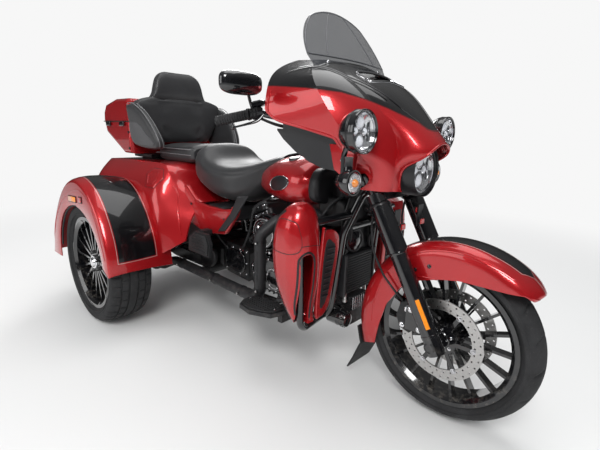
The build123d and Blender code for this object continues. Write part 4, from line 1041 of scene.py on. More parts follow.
def strip(group, node, view, path, width, height, key, steps=40, closed=False, bend=catmull):
    """A raised bead along a path on a node's face."""
    hits = [h for h in (on_face(node, view, a, b) for a, b in bend(path, steps, closed)) if h]
    n = len(hits)
    if n < 4:
        return group
    rows = []
    for i, (place, _) in enumerate(hits):
        near = [hits[(i + d) % n] if closed else hits[min(max(i + d, 0), n - 1)] for d in (-1, 0, 1)]
        normal = sum((h[1] for h in near), Vector()).normalized()
        side = normal.cross(near[2][0] - near[0][0]).normalized()
        rows.append([place + side * (width * s) + normal * (height * h if h else -0.001) for s, h in BEAD])
    return group.grid(rows, key, loop=closed)


PLATE = ((1.0, 0.0), (0.99, 0.6), (0.955, 1.0), (0.75, 1.0), (0.45, 1.0), (0.15, 1.0))


def laid(group, node, view, outline, lift, key, steps=48, bend=catmull):
    """A thin plate laid on a node's face, inside a closed outline."""
    points = bend(outline, steps, True)
    mid_a, mid_b = (sum(p[i] for p in points) / len(points) for i in (0, 1))
    rings = []
    for scale, level in PLATE:
        hits = [on_face(node, view, mid_a + (a - mid_a) * scale, mid_b + (b - mid_b) * scale) for a,
                b in points]
        if None in hits:
            return group
        rings.append([place + normal * (lift * level if level else -0.001) for place, normal in hits])
    return group.grid(rings, key)


def seen_from(side):
    return "right" if side < 0 else "left"


def ball(group, centre, radius, key, sides=20):
    """A ball, as a turned profile."""
    profile = [(-radius * math.cos(a), radius * math.sin(a)) for a in (math.pi * k / 10 for k in range(11))]
    return group.lathe(profile, centre, (0, 0, 1), key, sides)


# Fairing: screen band and screws, vent, ridges, rolled edges, lamp shroud

VENT = ((0.612, 0.0), (0.612, 0.085), (0.618, 0.108), (0.640, 0.119), (0.672, 0.115), (0.687, 0.100),
        (0.689, 0.0))
WING_EDGE = ((0.402, 1.172), (0.401, 1.110), (0.414, 1.087), (0.454, 1.066), (0.560, 1.041), (0.652, 1.016),
             (0.672, 0.990), (0.695, 0.940), (0.708, 0.842))
RIDGES = (
    ((0.470, 0.262), (0.560, 0.214), (0.640, 0.170), (0.720, 0.128), (0.800, 0.084), (0.850, 0.050)),
    ((0.440, 0.290), (0.530, 0.244), (0.610, 0.202), (0.690, 0.160), (0.760, 0.120)),
)

trim = Group("fairing_trim", "steering")
band = [(-0.228, 1.264), (0.0, 1.264), (0.228, 1.264), (0.240, 1.300), (0.0, 1.302), (-0.240, 1.300)]
laid(trim, "windshield", "front", band, 0.0025, "black", 120, straight)
strip(trim, "windshield", "front", [(-0.241, 1.303), (0.0, 1.305), (0.241, 1.303)], 0.0045, 0.0032, "grey",
      50)
for y in (-0.165, 0.0, 0.165):
    hit = on_face("windshield", "front", y, 1.281)
    if hit:
        trim.bolt(hit[0] + hit[1] * 0.002, hit[1], 0.0058, "chrome", 0.4, hexed=False)
for side in (-1, 1):
    crease = [(side * 0.150, 1.310), (side * 0.118, 1.380), (side * 0.074, 1.450), (side * 0.045, 1.484)]
    strip(trim, "windshield", "front", crease, 0.0035, 0.0014, "screen_edge", 30)
    edge = [(side * 0.243, 1.306), (side * 0.234, 1.345), (side * 0.214, 1.388), (side * 0.184, 1.428),
            (side * 0.147, 1.461), (side * 0.075, 1.484), (0.0, 1.4915)]
    strip(trim, "windshield", "front", edge, 0.005, 0.0016, "screen_edge", 44)
    for ridge in RIDGES:
        strip(trim, "fairing", "top", [(x, side * y) for x, y in ridge], 0.008, 0.0028, "black", 40)
    strip(trim, "fairing", seen_from(side), WING_EDGE, 0.010, 0.0028, "red_fairing", 70)
rim = [(x, y) for x, y in VENT] + [(x, -y) for x, y in reversed(VENT[1:-1])]
strip(trim, "fairing", "top", rim, 0.009, 0.005, "chrome", 110, True)
slope = Matrix.Rotation(math.radians(33.0), 3, "Y")
for depth, shift, size, key in ((0.030, 0.0, (0.084, 0.232, 0.003), "matt"),
                                (0.016, 0.012, (0.010, 0.230, 0.003), "satin"),
                                (0.008, -0.014, (0.010, 0.230, 0.003), "satin")):
    trim.box(slope @ Vector((shift, 0, -depth)) + Vector((0.650, 0, 1.196)), size, key, slope)
for y in (-0.058, 0.0, 0.058):
    trim.box(slope @ Vector((0, 0, -0.014)) + Vector((0.650, y, 1.196)), (0.070, 0.0045, 0.026), "satin",
             slope)
trim.lathe([(-0.110, 0.0935), (0.012, 0.0938), (0.014, 0.0925), (0.012, 0.0915), (-0.100, 0.0905)],
           HEAD_LAMP_AT, (1, 0, 0), "satin", 64, closed=True)
BROW_RADIUS = 0.0985
brow = []
for k in range(41):
    a = math.radians(-8 + 196 * k / 40)
    hit = on_face("fairing", "front", BROW_RADIUS * math.cos(a), HEAD_LAMP_AT[2] + BROW_RADIUS * math.sin(a))
    if hit:
        brow.append(hit[0])
for side in (-1, 1):
    for z in (0.885, 0.868, 0.852, 0.838):
        hit = on_face("fairing", "front", side * BROW_RADIUS, z)
        if hit:
            brow.insert(len(brow) if side < 0 else 0, hit[0])
trim.tube([tuple(p) for p in brow], 0.0042, "red_fairing", 10, 120)
trim.make("red_gloss")

# Instruments on the inner fairing

GAUGES = ((0, 1.200, 0.040), (-0.082, 1.196, 0.040), (0.082, 1.196, 0.040), (-0.215, 1.150, 0.056),
          (0.215, 1.150, 0.056))
gauges = Group("instruments", "steering")
for y, z, radius in GAUGES:
    at, back = Vector((0.4475, y, z)), (-1, 0, 0)
    gauges.lathe([(0.010, radius * 0.90), (0.013, radius * 0.93), (0.0145, radius * 0.98),
                  (0.013, radius * 1.03), (0.010, radius * 1.05)], at, back,
                 "chrome" if radius < 0.05 else "satin", 48, closed=True)
    gauges.lathe([(0.0, radius * 0.92), (0.002, radius * 0.90), (0.002, radius * 0.1)], at, back, "matt", 48)
    if radius < 0.05:
        for k in range(11):
            a = math.radians(225 - 27 * k)
            spot = at + Vector((-0.003, math.cos(a) * radius * 0.74, math.sin(a) * radius * 0.74))
            gauges.box(spot, (0.001, 0.0016, 0.006), "fin_edge", Matrix.Rotation(a - math.pi / 2, 3, "X"),
                       0.0003)
        needle = math.radians(200)
        gauges.box(at + Vector((-0.004, math.cos(needle) * radius * 0.3, math.sin(needle) * radius * 0.3)),
                   (0.001, 0.0018, radius * 0.66), "amber", Matrix.Rotation(needle - math.pi / 2, 3, "X"),
                   0.0004)
        gauges.lathe([(0.002, 0.006), (0.006, 0.005), (0.007, 0.001)], at, back, "satin", 20)
    else:
        for k in range(1, 6):
            ring = radius * 0.15 * k
            gauges.lathe([(0.002, ring), (0.0045, ring + 0.0012), (0.002, ring + 0.0024)], at, back,
                         "plastic", 48, closed=True)
screen = [(0.436, y, z) for y, z in ((-0.075, 1.116), (0.075, 1.116), (0.080, 1.121), (0.080, 1.150),
                                     (0.075, 1.155), (-0.075, 1.155), (-0.080, 1.150), (-0.080, 1.121))]
gauges.slab(screen, (-1, 0, 0), 0.006, "black", round_edge=0.002)
for k in range(6):
    for side in (-1, 1):
        button = (0.434, side * (0.110 + 0.016 * (k % 3)), 1.126 + 0.016 * (k // 3))
        gauges.box(button, (0.006, 0.012, 0.010), "rubber", edge=0.0015)
gauges.make("black_plastic")

# Handlebar: ribbed grips, switch housings, levers, reservoirs and mirrors

MIRROR_Y, MIRROR_Z = 0.468, 1.187


def mirror_oval(x, side, half_y, half_z):
    """A squared oval round a mirror's middle."""
    return [Vector((x, side * MIRROR_Y + half_y * squared(math.cos(a), 0.62),
                    MIRROR_Z + half_z * squared(math.sin(a), 0.62))) for a in round_angles(56, 0.5)]


for side, hand in HANDS:
    grip = Group("grip_" + hand, "steering")
    inner, outer = Vector((0.320, side * 0.3685, 1.089)), Vector((0.203, side * 0.433, 1.0615))
    way = (outer - inner).normalized()
    span = (outer - inner).length
    profile = [(-0.006, 0.0155), (-0.005, 0.0215), (0.004, 0.0225), (0.007, 0.0185)]
    ribs = 11
    pitch = (span - 0.024) / ribs
    for k in range(ribs):
        start = 0.010 + (span - 0.024) * k / ribs
        profile += [(start, 0.0172), (start + pitch * 0.2, 0.0192), (start + pitch * 0.7, 0.0192),
                    (start + pitch * 0.9, 0.0172)]
    profile += [(span - 0.012, 0.0175), (span - 0.008, 0.0205), (span - 0.003, 0.0205), (span - 0.001, 0.016)]
    grip.lathe(profile, inner, way, "rubber", 28)
    grip.lathe([(span - 0.002, 0.0135), (span + 0.0015, 0.0125), (span + 0.0025, 0.004)], inner, way, "satin",
               24)
    level = Vector((0, 0, 1)).cross(way)
    turn = Matrix((way, level.normalized(), way.cross(level).normalized())).transposed()
    base = inner - way * 0.030
    grip.box(base, (0.046, 0.044, 0.048), "satin", turn, 0.009)
    grip.box(base + Vector((0.012, 0, 0.032)), (0.050, 0.044, 0.022), "black", turn, 0.006)
    for along, aside in ((0.015, 0.012), (-0.010, -0.012)):
        grip.bolt(base + turn @ Vector((along, aside, 0.040)), (0, 0, 1), 0.0024, "chrome", 0.4, False)
    for k in range(4):
        spot = base + turn @ Vector((0.012 - 0.014 * (k % 2), -side * 0.0235, 0.008 - 0.016 * (k // 2)))
        grip.box(spot, (0.010, 0.004, 0.010), "rubber", turn, 0.0015)
    lever = [tuple(base + Vector((0.036, side * -0.004, -0.004))), (0.372, side * 0.372, 1.066),
             (0.343, side * 0.402, 1.052), (0.318, side * 0.420, 1.044), (0.302, side * 0.432, 1.039)]
    grip.tube(lever, [0.008, 0.0085, 0.0065, 0.0055, 0.0062], "black", 12, 36, 0.7)
    ball(grip, (0.302, side * 0.432, 1.039), 0.0085, "black")
    grip.box(base + Vector((0.024, side * -0.002, -0.002)), (0.030, 0.030, 0.018), "satin", turn, 0.004)
    cable = [tuple(base + Vector((0.010, side * -0.010, -0.020))), (0.400, side * 0.300, 1.052),
             (0.470, side * 0.235, 1.030), (0.560, side * 0.150, 0.985), (0.640, side * 0.085, 0.950)]
    grip.tube(cable, 0.0042, "rubber", 8, 40)
    grip.tube([(x, y + side * 0.012, z + 0.006) for x, y, z in cable], 0.0036, "rubber", 8, 40)
    grip.make("rubber")

    mirror = Group("mirror_" + hand, "steering")
    rows = []
    for x, half_y, half_z in ((0.3935, 0.0845, 0.0360), (0.3925, 0.0872, 0.0385), (0.3945, 0.0880, 0.0390),
                              (0.402, 0.0876, 0.0388), (0.412, 0.0835, 0.0362), (0.420, 0.0745, 0.0310),
                              (0.4262, 0.0560, 0.0220), (0.4278, 0.0300, 0.0110), (0.4280, 0.0060, 0.0025)):
        rows.append(mirror_oval(x, side, half_y, half_z))
    mirror.grid(rows, "black")
    glass_rows = []
    for x, half_y, half_z in ((0.3945, 0.0835, 0.0350), (0.3922, 0.0830, 0.0346), (0.3922, 0.0500, 0.0200),
                              (0.3922, 0.0100, 0.0040)):
        glass_rows.append(mirror_oval(x, side, half_y, half_z))
    mirror.grid(glass_rows, "mirror")
    mirror.tube([(0.340, side * 0.362, 1.100), (0.348, side * 0.385, 1.132), (0.372, side * 0.415, 1.160),
                 (0.398, side * 0.442, 1.178)], [0.0075, 0.006, 0.0055, 0.007], "black", 14, 30)
    mirror.lathe([(-0.004, 0.010), (0.004, 0.0105), (0.008, 0.008)], (0.340, side * 0.362, 1.100),
                 (0.1, side * 0.4, 0.6), "satin", 20)
    mirror.make("black_gloss", replaces=("mirrors",) if side < 0 else ())

# Fork, calipers and front wheel

FORK_LEAN = math.radians(29.2)
FORK_UP = Vector((-math.sin(FORK_LEAN), 0, math.cos(FORK_LEAN)))


def on_fork(z, side):
    return Vector((1.020 - (z - 0.319) * math.tan(FORK_LEAN), side * 0.125, z))


for side, hand in HANDS:
    leg = Group("fork_fittings_" + hand, "steering")
    for z, radius, half in ((0.628, 0.0382, 0.004), (0.618, 0.0330, 0.006), (0.772, 0.0384, 0.004),
                            (0.352, 0.0320, 0.005), (0.700, 0.0383, 0.0012), (0.560, 0.0316, 0.0015)):
        leg.lathe([(-half, radius - 0.0015), (-half * 0.7, radius), (half * 0.7, radius),
                   (half, radius - 0.0015)], on_fork(z, side), FORK_UP, "black", 40)
    leg.lathe([(0.0, 0.0382), (0.006, 0.0375), (0.014, 0.0300), (0.018, 0.0250)], on_fork(0.775, side),
              FORK_UP, "satin", 40)
    facing = Vector((0.62, side * 0.785, 0)).normalized()
    facing = (facing - FORK_UP * facing.dot(FORK_UP)).normalized()
    turn = Matrix((facing, FORK_UP.cross(facing), FORK_UP)).transposed()
    spot = on_fork(0.422, side)
    # An amber reflector strip on the leg; it glows a little by emission, a painted glow, since it is no lamp.
    leg.box(spot + facing * 0.0315, (0.005, 0.018, 0.112), "satin", turn, 0.001)
    leg.box(spot + facing * 0.0345, (0.005, 0.0145, 0.106), "amber", turn, 0.0012)
    end = Vector((1.016, side * 0.151, 0.319))
    leg.lathe([(0, 0.0205), (0.0035, 0.0205), (0.0045, 0.0160)], end, (0, side, 0), "satin", 28, smooth=False)
    leg.lathe([(0.004, 0.0150), (0.0045, 0.0150), (0.0048, 0.0115)], end, (0, side, 0), "black", 6,
              smooth=False)
    for x, z in ((0.918, 0.418), (0.956, 0.352)):
        leg.bolt((x, side * 0.1185, z), (0, side, 0), 0.0085)
    for x, z in ((0.893, 0.404), (0.878, 0.338), (0.905, 0.372)):
        hit = on_face("calipers", seen_from(side), x, z)
        if hit:
            leg.bolt(hit[0], hit[1], 0.0078, "chrome", 0.5, hexed=False)
    for x, z in ((0.957, 0.585), (0.905, 0.560)):
        hit = on_face("front_fender", seen_from(side), x, z)
        if hit:
            leg.bolt(hit[0], hit[1], 0.0058, "black", 0.45)
    # Reflectors on a bracket under the lower clamp; their red lens glows a little by emission, a painted
    # glow, since they are no lamps
    inner = on_fork(0.745, side) + Vector((0.030, -side * 0.052, 0))
    for drop in (0.0, 0.050):
        leg.box(inner - FORK_UP * drop, (0.006, 0.026, 0.020), "red_lens", edge=0.002)
        leg.box(inner - FORK_UP * drop + Vector((-0.004, 0, 0)), (0.004, 0.032, 0.026), "satin", edge=0.001)
    leg.box(inner - FORK_UP * 0.025 + Vector((-0.007, side * 0.014, 0)), (0.005, 0.042, 0.085), "satin",
            edge=0.0015)
    leg.make("black_gloss")

hub = Group("front_hub_fittings", "front_wheel")
axle = Vector(FRONT_HUB)
for side in (-1, 1):
    hub.lathe([(side * 0.058, 0.034), (side * 0.070, 0.034), (side * 0.073, 0.031), (side * 0.073, 0.022)],
              axle, (0, 1, 0), "black", 40)
    hub.bolt_ring(axle + Vector((0, side * 0.0725, 0)), 0.0275, 5, 0.3, (0, side, 0), 0.0036)
    hub.lathe([(side * 0.0475, 0.2385), (side * 0.0500, 0.2395), (side * 0.0512, 0.2425),
               (side * 0.0490, 0.2440)], axle, (0, 1, 0), "black", 96, closed=True)
VALVE_ANGLE = 2.2
valve_x, valve_z = math.cos(VALVE_ANGLE), math.sin(VALVE_ANGLE)
valve = axle + Vector((valve_x * 0.231, -0.022, valve_z * 0.231))
hub.lathe([(0, 0.0042), (0.014, 0.0040), (0.016, 0.0048), (0.026, 0.0046), (0.028, 0.003)], valve,
          (-valve_x * 0.5, -0.9, -valve_z * 0.5), "rubber", 14)
hub.make("black_gloss")


# Rear fenders: smooth crowned arches with a turned arch lip

ARCH = ((-0.300, 0.352), (-0.326, 0.500), (-0.404, 0.640), (-0.510, 0.738), (-0.650, 0.783), (-0.800, 0.750),
        (-0.940, 0.650), (-1.062, 0.500), (-1.146, 0.300))
ARCH_FROM = Vector((-0.700, 0.040))
OPENING, OPENING_R = Vector((-0.686, 0.326)), 0.305
CROWN = ((0.360, 0.940), (0.400, 0.954), (0.440, 0.972), (0.500, 0.989), (0.560, 0.998), (0.610, 0.9985),
         (0.648, 0.993), (0.672, 0.984), (0.683, 0.975), (0.689, 0.966), (0.6905, 0.955))
FENDER_WALL = 0.0045
fender_faces = ([], [])
for side, hand in HANDS:
    rows = []
    for point in catmull(ARCH, 96):
        reach = Vector(point) - ARCH_FROM
        way = (Vector(point) - Vector((-0.70, 0.29))).normalized()
        lip = OPENING + way * OPENING_R
        if way.y < 0.04:
            lip = Vector((OPENING.x + math.copysign(OPENING_R, way.x), point[1] * 0.97))
        skin = [(y, ARCH_FROM + reach * share) for y, share in CROWN]
        face = skin[-1][1]
        outer = skin + [(0.6907, face.lerp(lip, 0.5)), (0.6905, face.lerp(lip, 0.96)), (0.6890, lip)]
        inner = [(y - (FENDER_WALL if y > 0.66 else 0),
                  at + (ARCH_FROM - at).normalized() * (0.004 if y < 0.686 else 0.001)) for y,
                 at in outer[:-1]]
        ring = outer + [(0.6850, lip)] + list(reversed(inner))
        rows.append([Vector((at.x, side * y, at.y)) for y, at in ring])
    shell = Group("rear_fender_" + hand, "chassis").grid(rows, "red_rear")
    first = len(fender_faces[0])
    fender_faces[0].extend(shell.verts)
    fender_faces[1].extend([first + i for i in face] for face in shell.faces)
    shell.make("red_gloss", sharp=42, replaces=("rear_fenders",) if side < 0 else ())
SKINS["rear_fenders"] = BVHTree.FromPolygons(*fender_faces)

# Front fender: revolved crown, smooth skirt line and a rounded nose

HUB = Vector((1.034, 0.312))
CROWN_R, CROWN_HALF = 0.371, 0.089
NOSE, TAIL, NOSE_SPAN = 42.5, 200.0, 14
SKIRT = ((1.420, 0.566), (1.230, 0.562), (1.066, 0.561), (1.000, 0.548), (0.926, 0.524), (0.862, 0.486),
         (0.800, 0.392), (0.774, 0.296), (0.758, 0.194), (0.740, 0.120))


def skirt_reach(degrees):
    """How far from the wheel's centre the skirt's lower edge lies at an angle."""
    way = Vector((math.cos(math.radians(degrees)), math.sin(math.radians(degrees))))
    for (ax, az), (bx, bz) in zip(SKIRT[:-1], SKIRT[1:]):
        a, b = Vector((ax, az)) - HUB, Vector((bx, bz)) - HUB
        span = b - a
        det = way.x * -span.y + span.x * way.y
        if abs(det) < 1e-9:
            continue
        reach = (a.x * -span.y + span.x * a.y) / det
        part = (way.x * a.y - way.y * a.x) / det
        if reach > 0 and -1e-6 <= part <= 1 + 1e-6:
            return reach
    return 0.30


angles = [NOSE + NOSE_SPAN * (1 - math.cos(math.pi / 2 * k / 10)) for k in range(11)]
angles += [NOSE + NOSE_SPAN + (TAIL - NOSE - NOSE_SPAN) * k / 62 for k in range(1, 63)]
rows = []
for degrees in angles:
    near = min(1.0, (degrees - NOSE) / NOSE_SPAN)
    round_off = max(0.05, math.sqrt(max(0.0, 1 - (1 - near) ** 2)))
    half = CROWN_HALF * (0.42 + 0.58 * round_off)
    crown = CROWN_R - 0.008 * (1 - round_off)
    low = min(skirt_reach(degrees - 1.2) + skirt_reach(degrees + 1.2), 2 * (crown - 0.030)) / 2
    low += (crown - 0.024 - low) * max(0.0, 1 - near * 1.6) ** 2
    drop = 0.054 * (0.25 + 0.75 * round_off)
    side_line = [(0.0, crown), (half * 0.32, crown - 0.0018), (half * 0.60, crown - 0.007),
                 (half * 0.80, crown - 0.015), (half * 0.93, crown - drop * 0.50),
                 (half * 0.985, crown - drop * 0.78), (half, min(crown - drop, crown - 0.010))]
    above_edge = (low + crown - drop) / 2 if low < crown - drop else low + 0.003
    side_line = [(y, max(r, low + 0.004)) for y, r in side_line] + [(half, above_edge), (half, low)]
    inner = [(max(0.0, y - 0.0035), r - 0.0035 if r > low + 0.004 else r) for y, r in side_line]
    ring = [(-y, r) for y, r in reversed(side_line[1:])] + side_line
    ring += list(reversed(inner)) + [(-y, r) for y, r in inner[1:]]
    way = Vector((math.cos(math.radians(degrees)), 0, math.sin(math.radians(degrees))))
    rows.append([Vector((HUB.x, 0, HUB.y)) + way * r + Vector((0, y, 0)) for y, r in ring])
nose = Group("front_fender_shell", "steering").grid(rows, "red_front")
SKINS["front_fender"] = BVHTree.FromPolygons(nose.verts, nose.faces)
nose.make("red_gloss", sharp=42, replaces=("front_fender",))

fender = Group("front_fender_creases", "steering")
CREASES = (
    # path, width, height, steps
    (((0.852, 0.597), (0.890, 0.617), (0.956, 0.641), (1.040, 0.654), (1.110, 0.646), (1.180, 0.627),
      (1.225, 0.607)), 0.010, 0.0022, 60),
    (((0.920, 0.538), (0.985, 0.545), (1.060, 0.550), (1.140, 0.553), (1.200, 0.557)), 0.007, 0.0020, 50),
    (((0.830, 0.566), (0.780, 0.500), (0.755, 0.430), (0.742, 0.360), (0.738, 0.300)), 0.006, 0.0018, 40),
)
for side in (-1, 1):
    for path, width, height, steps in CREASES:
        strip(fender, "front_fender", seen_from(side), path, width, height, "red", steps)
fender.make("red_gloss")


# Rear body: a rounded shell over the same stations as the solid

BODY = (
    # x, top half width, top z, shoulder half width, shoulder z, low half width, low z
    (-1.300, 0.256, 0.802, 0.330, 0.700, 0.330, 0.400),
    (-1.222, 0.286, 0.819, 0.386, 0.703, 0.394, 0.366),
    (-1.130, 0.310, 0.833, 0.434, 0.702, 0.444, 0.346),
    (-0.900, 0.314, 0.840, 0.436, 0.692, 0.446, 0.345),
    (-0.660, 0.318, 0.845, 0.436, 0.680, 0.446, 0.345),
    (-0.480, 0.320, 0.846, 0.434, 0.670, 0.446, 0.346),
    (-0.418, 0.315, 0.822, 0.430, 0.662, 0.443, 0.354),
    (-0.366, 0.296, 0.748, 0.416, 0.636, 0.438, 0.374),
    (-0.300, 0.266, 0.700, 0.366, 0.612, 0.396, 0.420),
    (-0.228, 0.243, 0.664, 0.300, 0.588, 0.336, 0.474),
)
SHELL = 0.005


def body_ring(station, shrink):
    """A closed U-shaped section of the shell, its outside then its inside."""
    x, top_y, top_z, mid_y, mid_z, low_y, low_z = station
    high, low = Vector((top_y * 0.96, top_z)), Vector((low_y, low_z))
    corner = Vector((mid_y + 0.004, mid_z + 0.004))
    near = [high.lerp(corner, 0.90), low.lerp(corner, 0.88)]
    line = [(0.0, top_z), (top_y * 0.45, top_z), (top_y * 0.82, top_z)]
    for k in range(29):
        t = k / 28
        point = high * (1 - t) ** 3 + near[0] * (3 * t * (1 - t) ** 2)
        point += near[1] * (3 * t * t * (1 - t))
        point += low * t ** 3
        line.append((point.x, point.y))
    ring = []
    for inset in (0.0, shrink):
        half = [(y - (inset if y > 0.03 else 0), z - (inset if z > low_z + 0.002 else 0)) for y, z in line]
        whole = [(y, z) for y, z in reversed(half[1:])] + [(-y, z) for y, z in half]
        ring += whole if inset == 0.0 else reversed(whole)
    return [Vector((x, y, z)) for y, z in ring]


shell = Group("body_shell", "chassis")
shell.grid([body_ring(s, SHELL) for s in catmull(BODY, 60)], "red")
SKINS["body_shell"] = BVHTree.FromPolygons(shell.verts, shell.faces)
HEX = ((-0.568, 0.790), (-0.528, 0.818), (-0.440, 0.818), (-0.414, 0.774), (-0.436, 0.724), (-0.516, 0.726))
for side in (-1, 1):
    laid(shell, "body_shell", seen_from(side), HEX, 0.0022, "red", 90, straight)
    strip(shell, "body_shell", seen_from(side), HEX, 0.0045, 0.0008, "satin", 120, True, straight)
    inner = [(-0.492 + (x + 0.492) * 0.62, 0.772 + (z - 0.772) * 0.62) for x, z in HEX]
    strip(shell, "body_shell", seen_from(side), inner, 0.003, 0.0034, "red", 100, True, straight)
    strip(shell, "body_shell", seen_from(side),
          [(-0.372, 0.738), (-0.330, 0.690), (-0.302, 0.640), (-0.272, 0.575), (-0.250, 0.500)], 0.009,
          0.0030, "red", 40)
    strip(shell, "body_shell", seen_from(side), [(-1.285, 0.440), (-1.120, 0.372), (-0.960, 0.366)], 0.010,
          0.003, "satin", 30)
strip(shell, "body_shell", "top", [(-1.290, 0.0), (-1.10, 0.0), (-0.80, 0.0)], 0.004, 0.0012, "satin", 30)
shell.make("red_gloss", sharp=50, replaces=("rear_body",))

# Side covers, the dark panel behind them, and the strut before them

COVER = ((-0.326, 0.744), (-0.235, 0.673), (-0.120, 0.664), (0.000, 0.663), (0.080, 0.678), (0.127, 0.694),
         (0.110, 0.652), (0.070, 0.602), (0.022, 0.546), (-0.080, 0.530), (-0.188, 0.530), (-0.298, 0.560),
         (-0.318, 0.650))
covers = Group("side_panels", "chassis")
for side in (-1, 1):
    covers.side_slab(side, 0.247, straight(COVER, 84, True), 0.026, "red", round_edge=0.009)
    inner = [(-0.10 + (x + 0.10) * 0.78, 0.605 + (z - 0.605) * 0.66) for x, z in COVER if z < 0.70]
    covers.side_slab(side, 0.2725, straight(inner, 70, True), 0.0028, "red", round_edge=0.0012)
    covers.side_slab(side, 0.236, ((-0.46, 0.66), (-0.20, 0.645), (-0.17, 0.50), (-0.20, 0.44),
                                   (-0.46, 0.40)), 0.004, "plastic")
    covers.side_slab(side, 0.275, ((0.205, 0.752), (0.132, 0.742), (0.080, 0.660), (-0.022, 0.556),
                                   (0.030, 0.566), (0.110, 0.640)), 0.009, "matt", round_edge=0.003)
    for x, z in ((-0.26, 0.655), (0.02, 0.62)):
        covers.bolt((x, side * 0.2735, z), (0, side, 0), 0.0055, "satin", 0.35, False)
covers.box((-0.12, 0, 0.618), (0.13, 0.47, 0.084), "plastic", edge=0.008)
covers.make("red_gloss", replaces=("side_covers",))

# Engine fittings

CRANK_X, CRANK_Z, DECK, LEAN = 0.190, 0.318, 0.165, math.radians(22.5)
engine = Group("engine_fittings", "chassis")
for lean in (1, -1):
    up_way = Vector((lean * math.sin(LEAN), 0, math.cos(LEAN)))
    along = Vector((math.cos(LEAN), 0, -lean * math.sin(LEAN)))
    deck = Vector((CRANK_X, 0, CRANK_Z)) + up_way * DECK
    turn = Matrix((along, (0, 1, 0), up_way)).transposed()
    for side in (-1, 1):
        for n in range(9):
            height = 0.010 + n * 0.014
            reach = min(0.076, (DECK + height) * math.tan(LEAN) - 0.0015)
            fin = deck + up_way * (height + 0.0025)
            flat_size, corner_size = (2 * reach - 0.072, 0.0016, 0.0042), (0.012, 0.002, 0.0042)
            engine.box(fin + Vector((0, side * 0.0834, 0)), flat_size, "fin_edge", turn, 0.0004)
            for end in (-1, 1):
                corner = fin + along * end * (reach - 0.012) + Vector((0, side * 0.0768, 0))
                corner_turn = turn @ Matrix.Rotation(-side * end * 0.9, 3, "Z")
                engine.box(corner, corner_size, "fin_edge", corner_turn, 0.0004)
        for k in range(3):
            spot = deck + up_way * 0.206 + along * (0.040 * (k - 1)) + Vector((0, side * 0.0855, 0))
            engine.bolt(spot, (0, side * 0.94, 0.2), 0.0055, "chrome", 0.6)
        engine.box(deck + up_way * 0.162 + Vector((0, side * 0.0815, 0)), (0.100, 0.004, 0.026), "fin_edge",
                   turn, 0.0015)
        plug = deck + up_way * 0.160 + along * (lean * 0.020) + Vector((0, side * 0.084, 0))
        engine.lathe([(0, 0.0095), (0.008, 0.0095), (0.009, 0.006), (0.018, 0.006), (0.019, 0.008),
                      (0.030, 0.007)], plug, (0, side, 0.3), "chrome", 14)
        wire = [tuple(plug + Vector((0, side * 0.028, 0.009))),
                tuple(plug + Vector((-0.02 * lean, side * 0.050, 0.03))),
                tuple(plug + Vector((-0.05 * lean, side * 0.030, 0.075))), (0.190, side * 0.030, 0.700)]
        engine.tube(wire, 0.0038, "rubber", 8, 30)
    for shift in (-0.022, 0.022):
        foot = Vector((CRANK_X + lean * 0.040 + shift * 0.6, -0.108, 0.446))
        head = deck + up_way * 0.148 + along * (shift * 1.4 - lean * 0.006) + Vector((0, -0.092, 0))
        engine.tube([tuple(foot), tuple(foot + (head - foot) * 0.5), tuple(head)], 0.0078, "satin", 14, 8)
        for t, radius in ((0.04, 0.0115), (0.52, 0.0100), (0.96, 0.0115)):
            spot = foot + (head - foot) * t
            engine.lathe([(-0.006, radius * 0.9), (-0.004, radius), (0.004, radius), (0.006, radius * 0.9)],
                         spot, (head - foot).normalized(), "chrome", 16)
CAM = ((0.084, 0.286), (0.240, 0.276), (0.322, 0.322), (0.330, 0.400), (0.268, 0.440), (0.096, 0.446),
       (0.046, 0.370))
for x, z in straight(CAM, 14, True):
    spot = Vector((x + (0.19 - x) * 0.12, -0.1395, z + (0.362 - z) * 0.12))
    engine.bolt(spot, (0, -1, 0), 0.0046)
for centre, radius, tall in (((0.235, 0.352), 0.052, 0.012), ((0.112, 0.372), 0.034, 0.010)):
    origin = (centre[0], -0.143, centre[1])
    engine.lathe([(0, radius), (tall * 0.6, radius), (tall, radius * 0.93), (tall, radius * 0.74),
                  (tall * 1.25, radius * 0.70), (tall * 1.4, radius * 0.3), (tall * 1.4, 0.001)], origin,
                 (0, -1, 0), "black", 44)
    engine.lathe([(tall * 0.6, radius * 1.0), (tall * 1.02, radius * 0.95), (tall * 1.02, radius * 0.90),
                  (tall * 0.6, radius * 0.96)], origin, (0, -1, 0), "fin_edge", 44, closed=True)
    engine.bolt_ring((origin[0], -0.143 - tall, origin[2]), radius * 0.84, 5, 0.25, (0, -1, 0), 0.0042)
PRIMARY = ((-0.196, 0.330), (-0.150, 0.280), (0.240, 0.276), (0.322, 0.306), (0.330, 0.392), (0.262, 0.440),
           (-0.150, 0.424))
for x, z in straight(PRIMARY, 18, True):
    engine.bolt((x + (0.07 - x) * 0.07, 0.1650, z + (0.355 - z) * 0.13), (0, 1, 0), 0.0046)
for centre, radius in (((-0.060, 0.352), 0.070), ((0.228, 0.358), 0.044)):
    origin = (centre[0], 0.167, centre[1])
    engine.lathe([(0, radius), (0.008, radius), (0.012, radius * 0.94), (0.013, radius * 0.72),
                  (0.016, radius * 0.66), (0.018, radius * 0.3), (0.018, 0.001)], origin, (0, 1, 0), "black",
                 48)
    engine.bolt_ring((origin[0], 0.1798, origin[2]), radius * 0.83, 5, 0.25, (0, 1, 0), 0.0045)
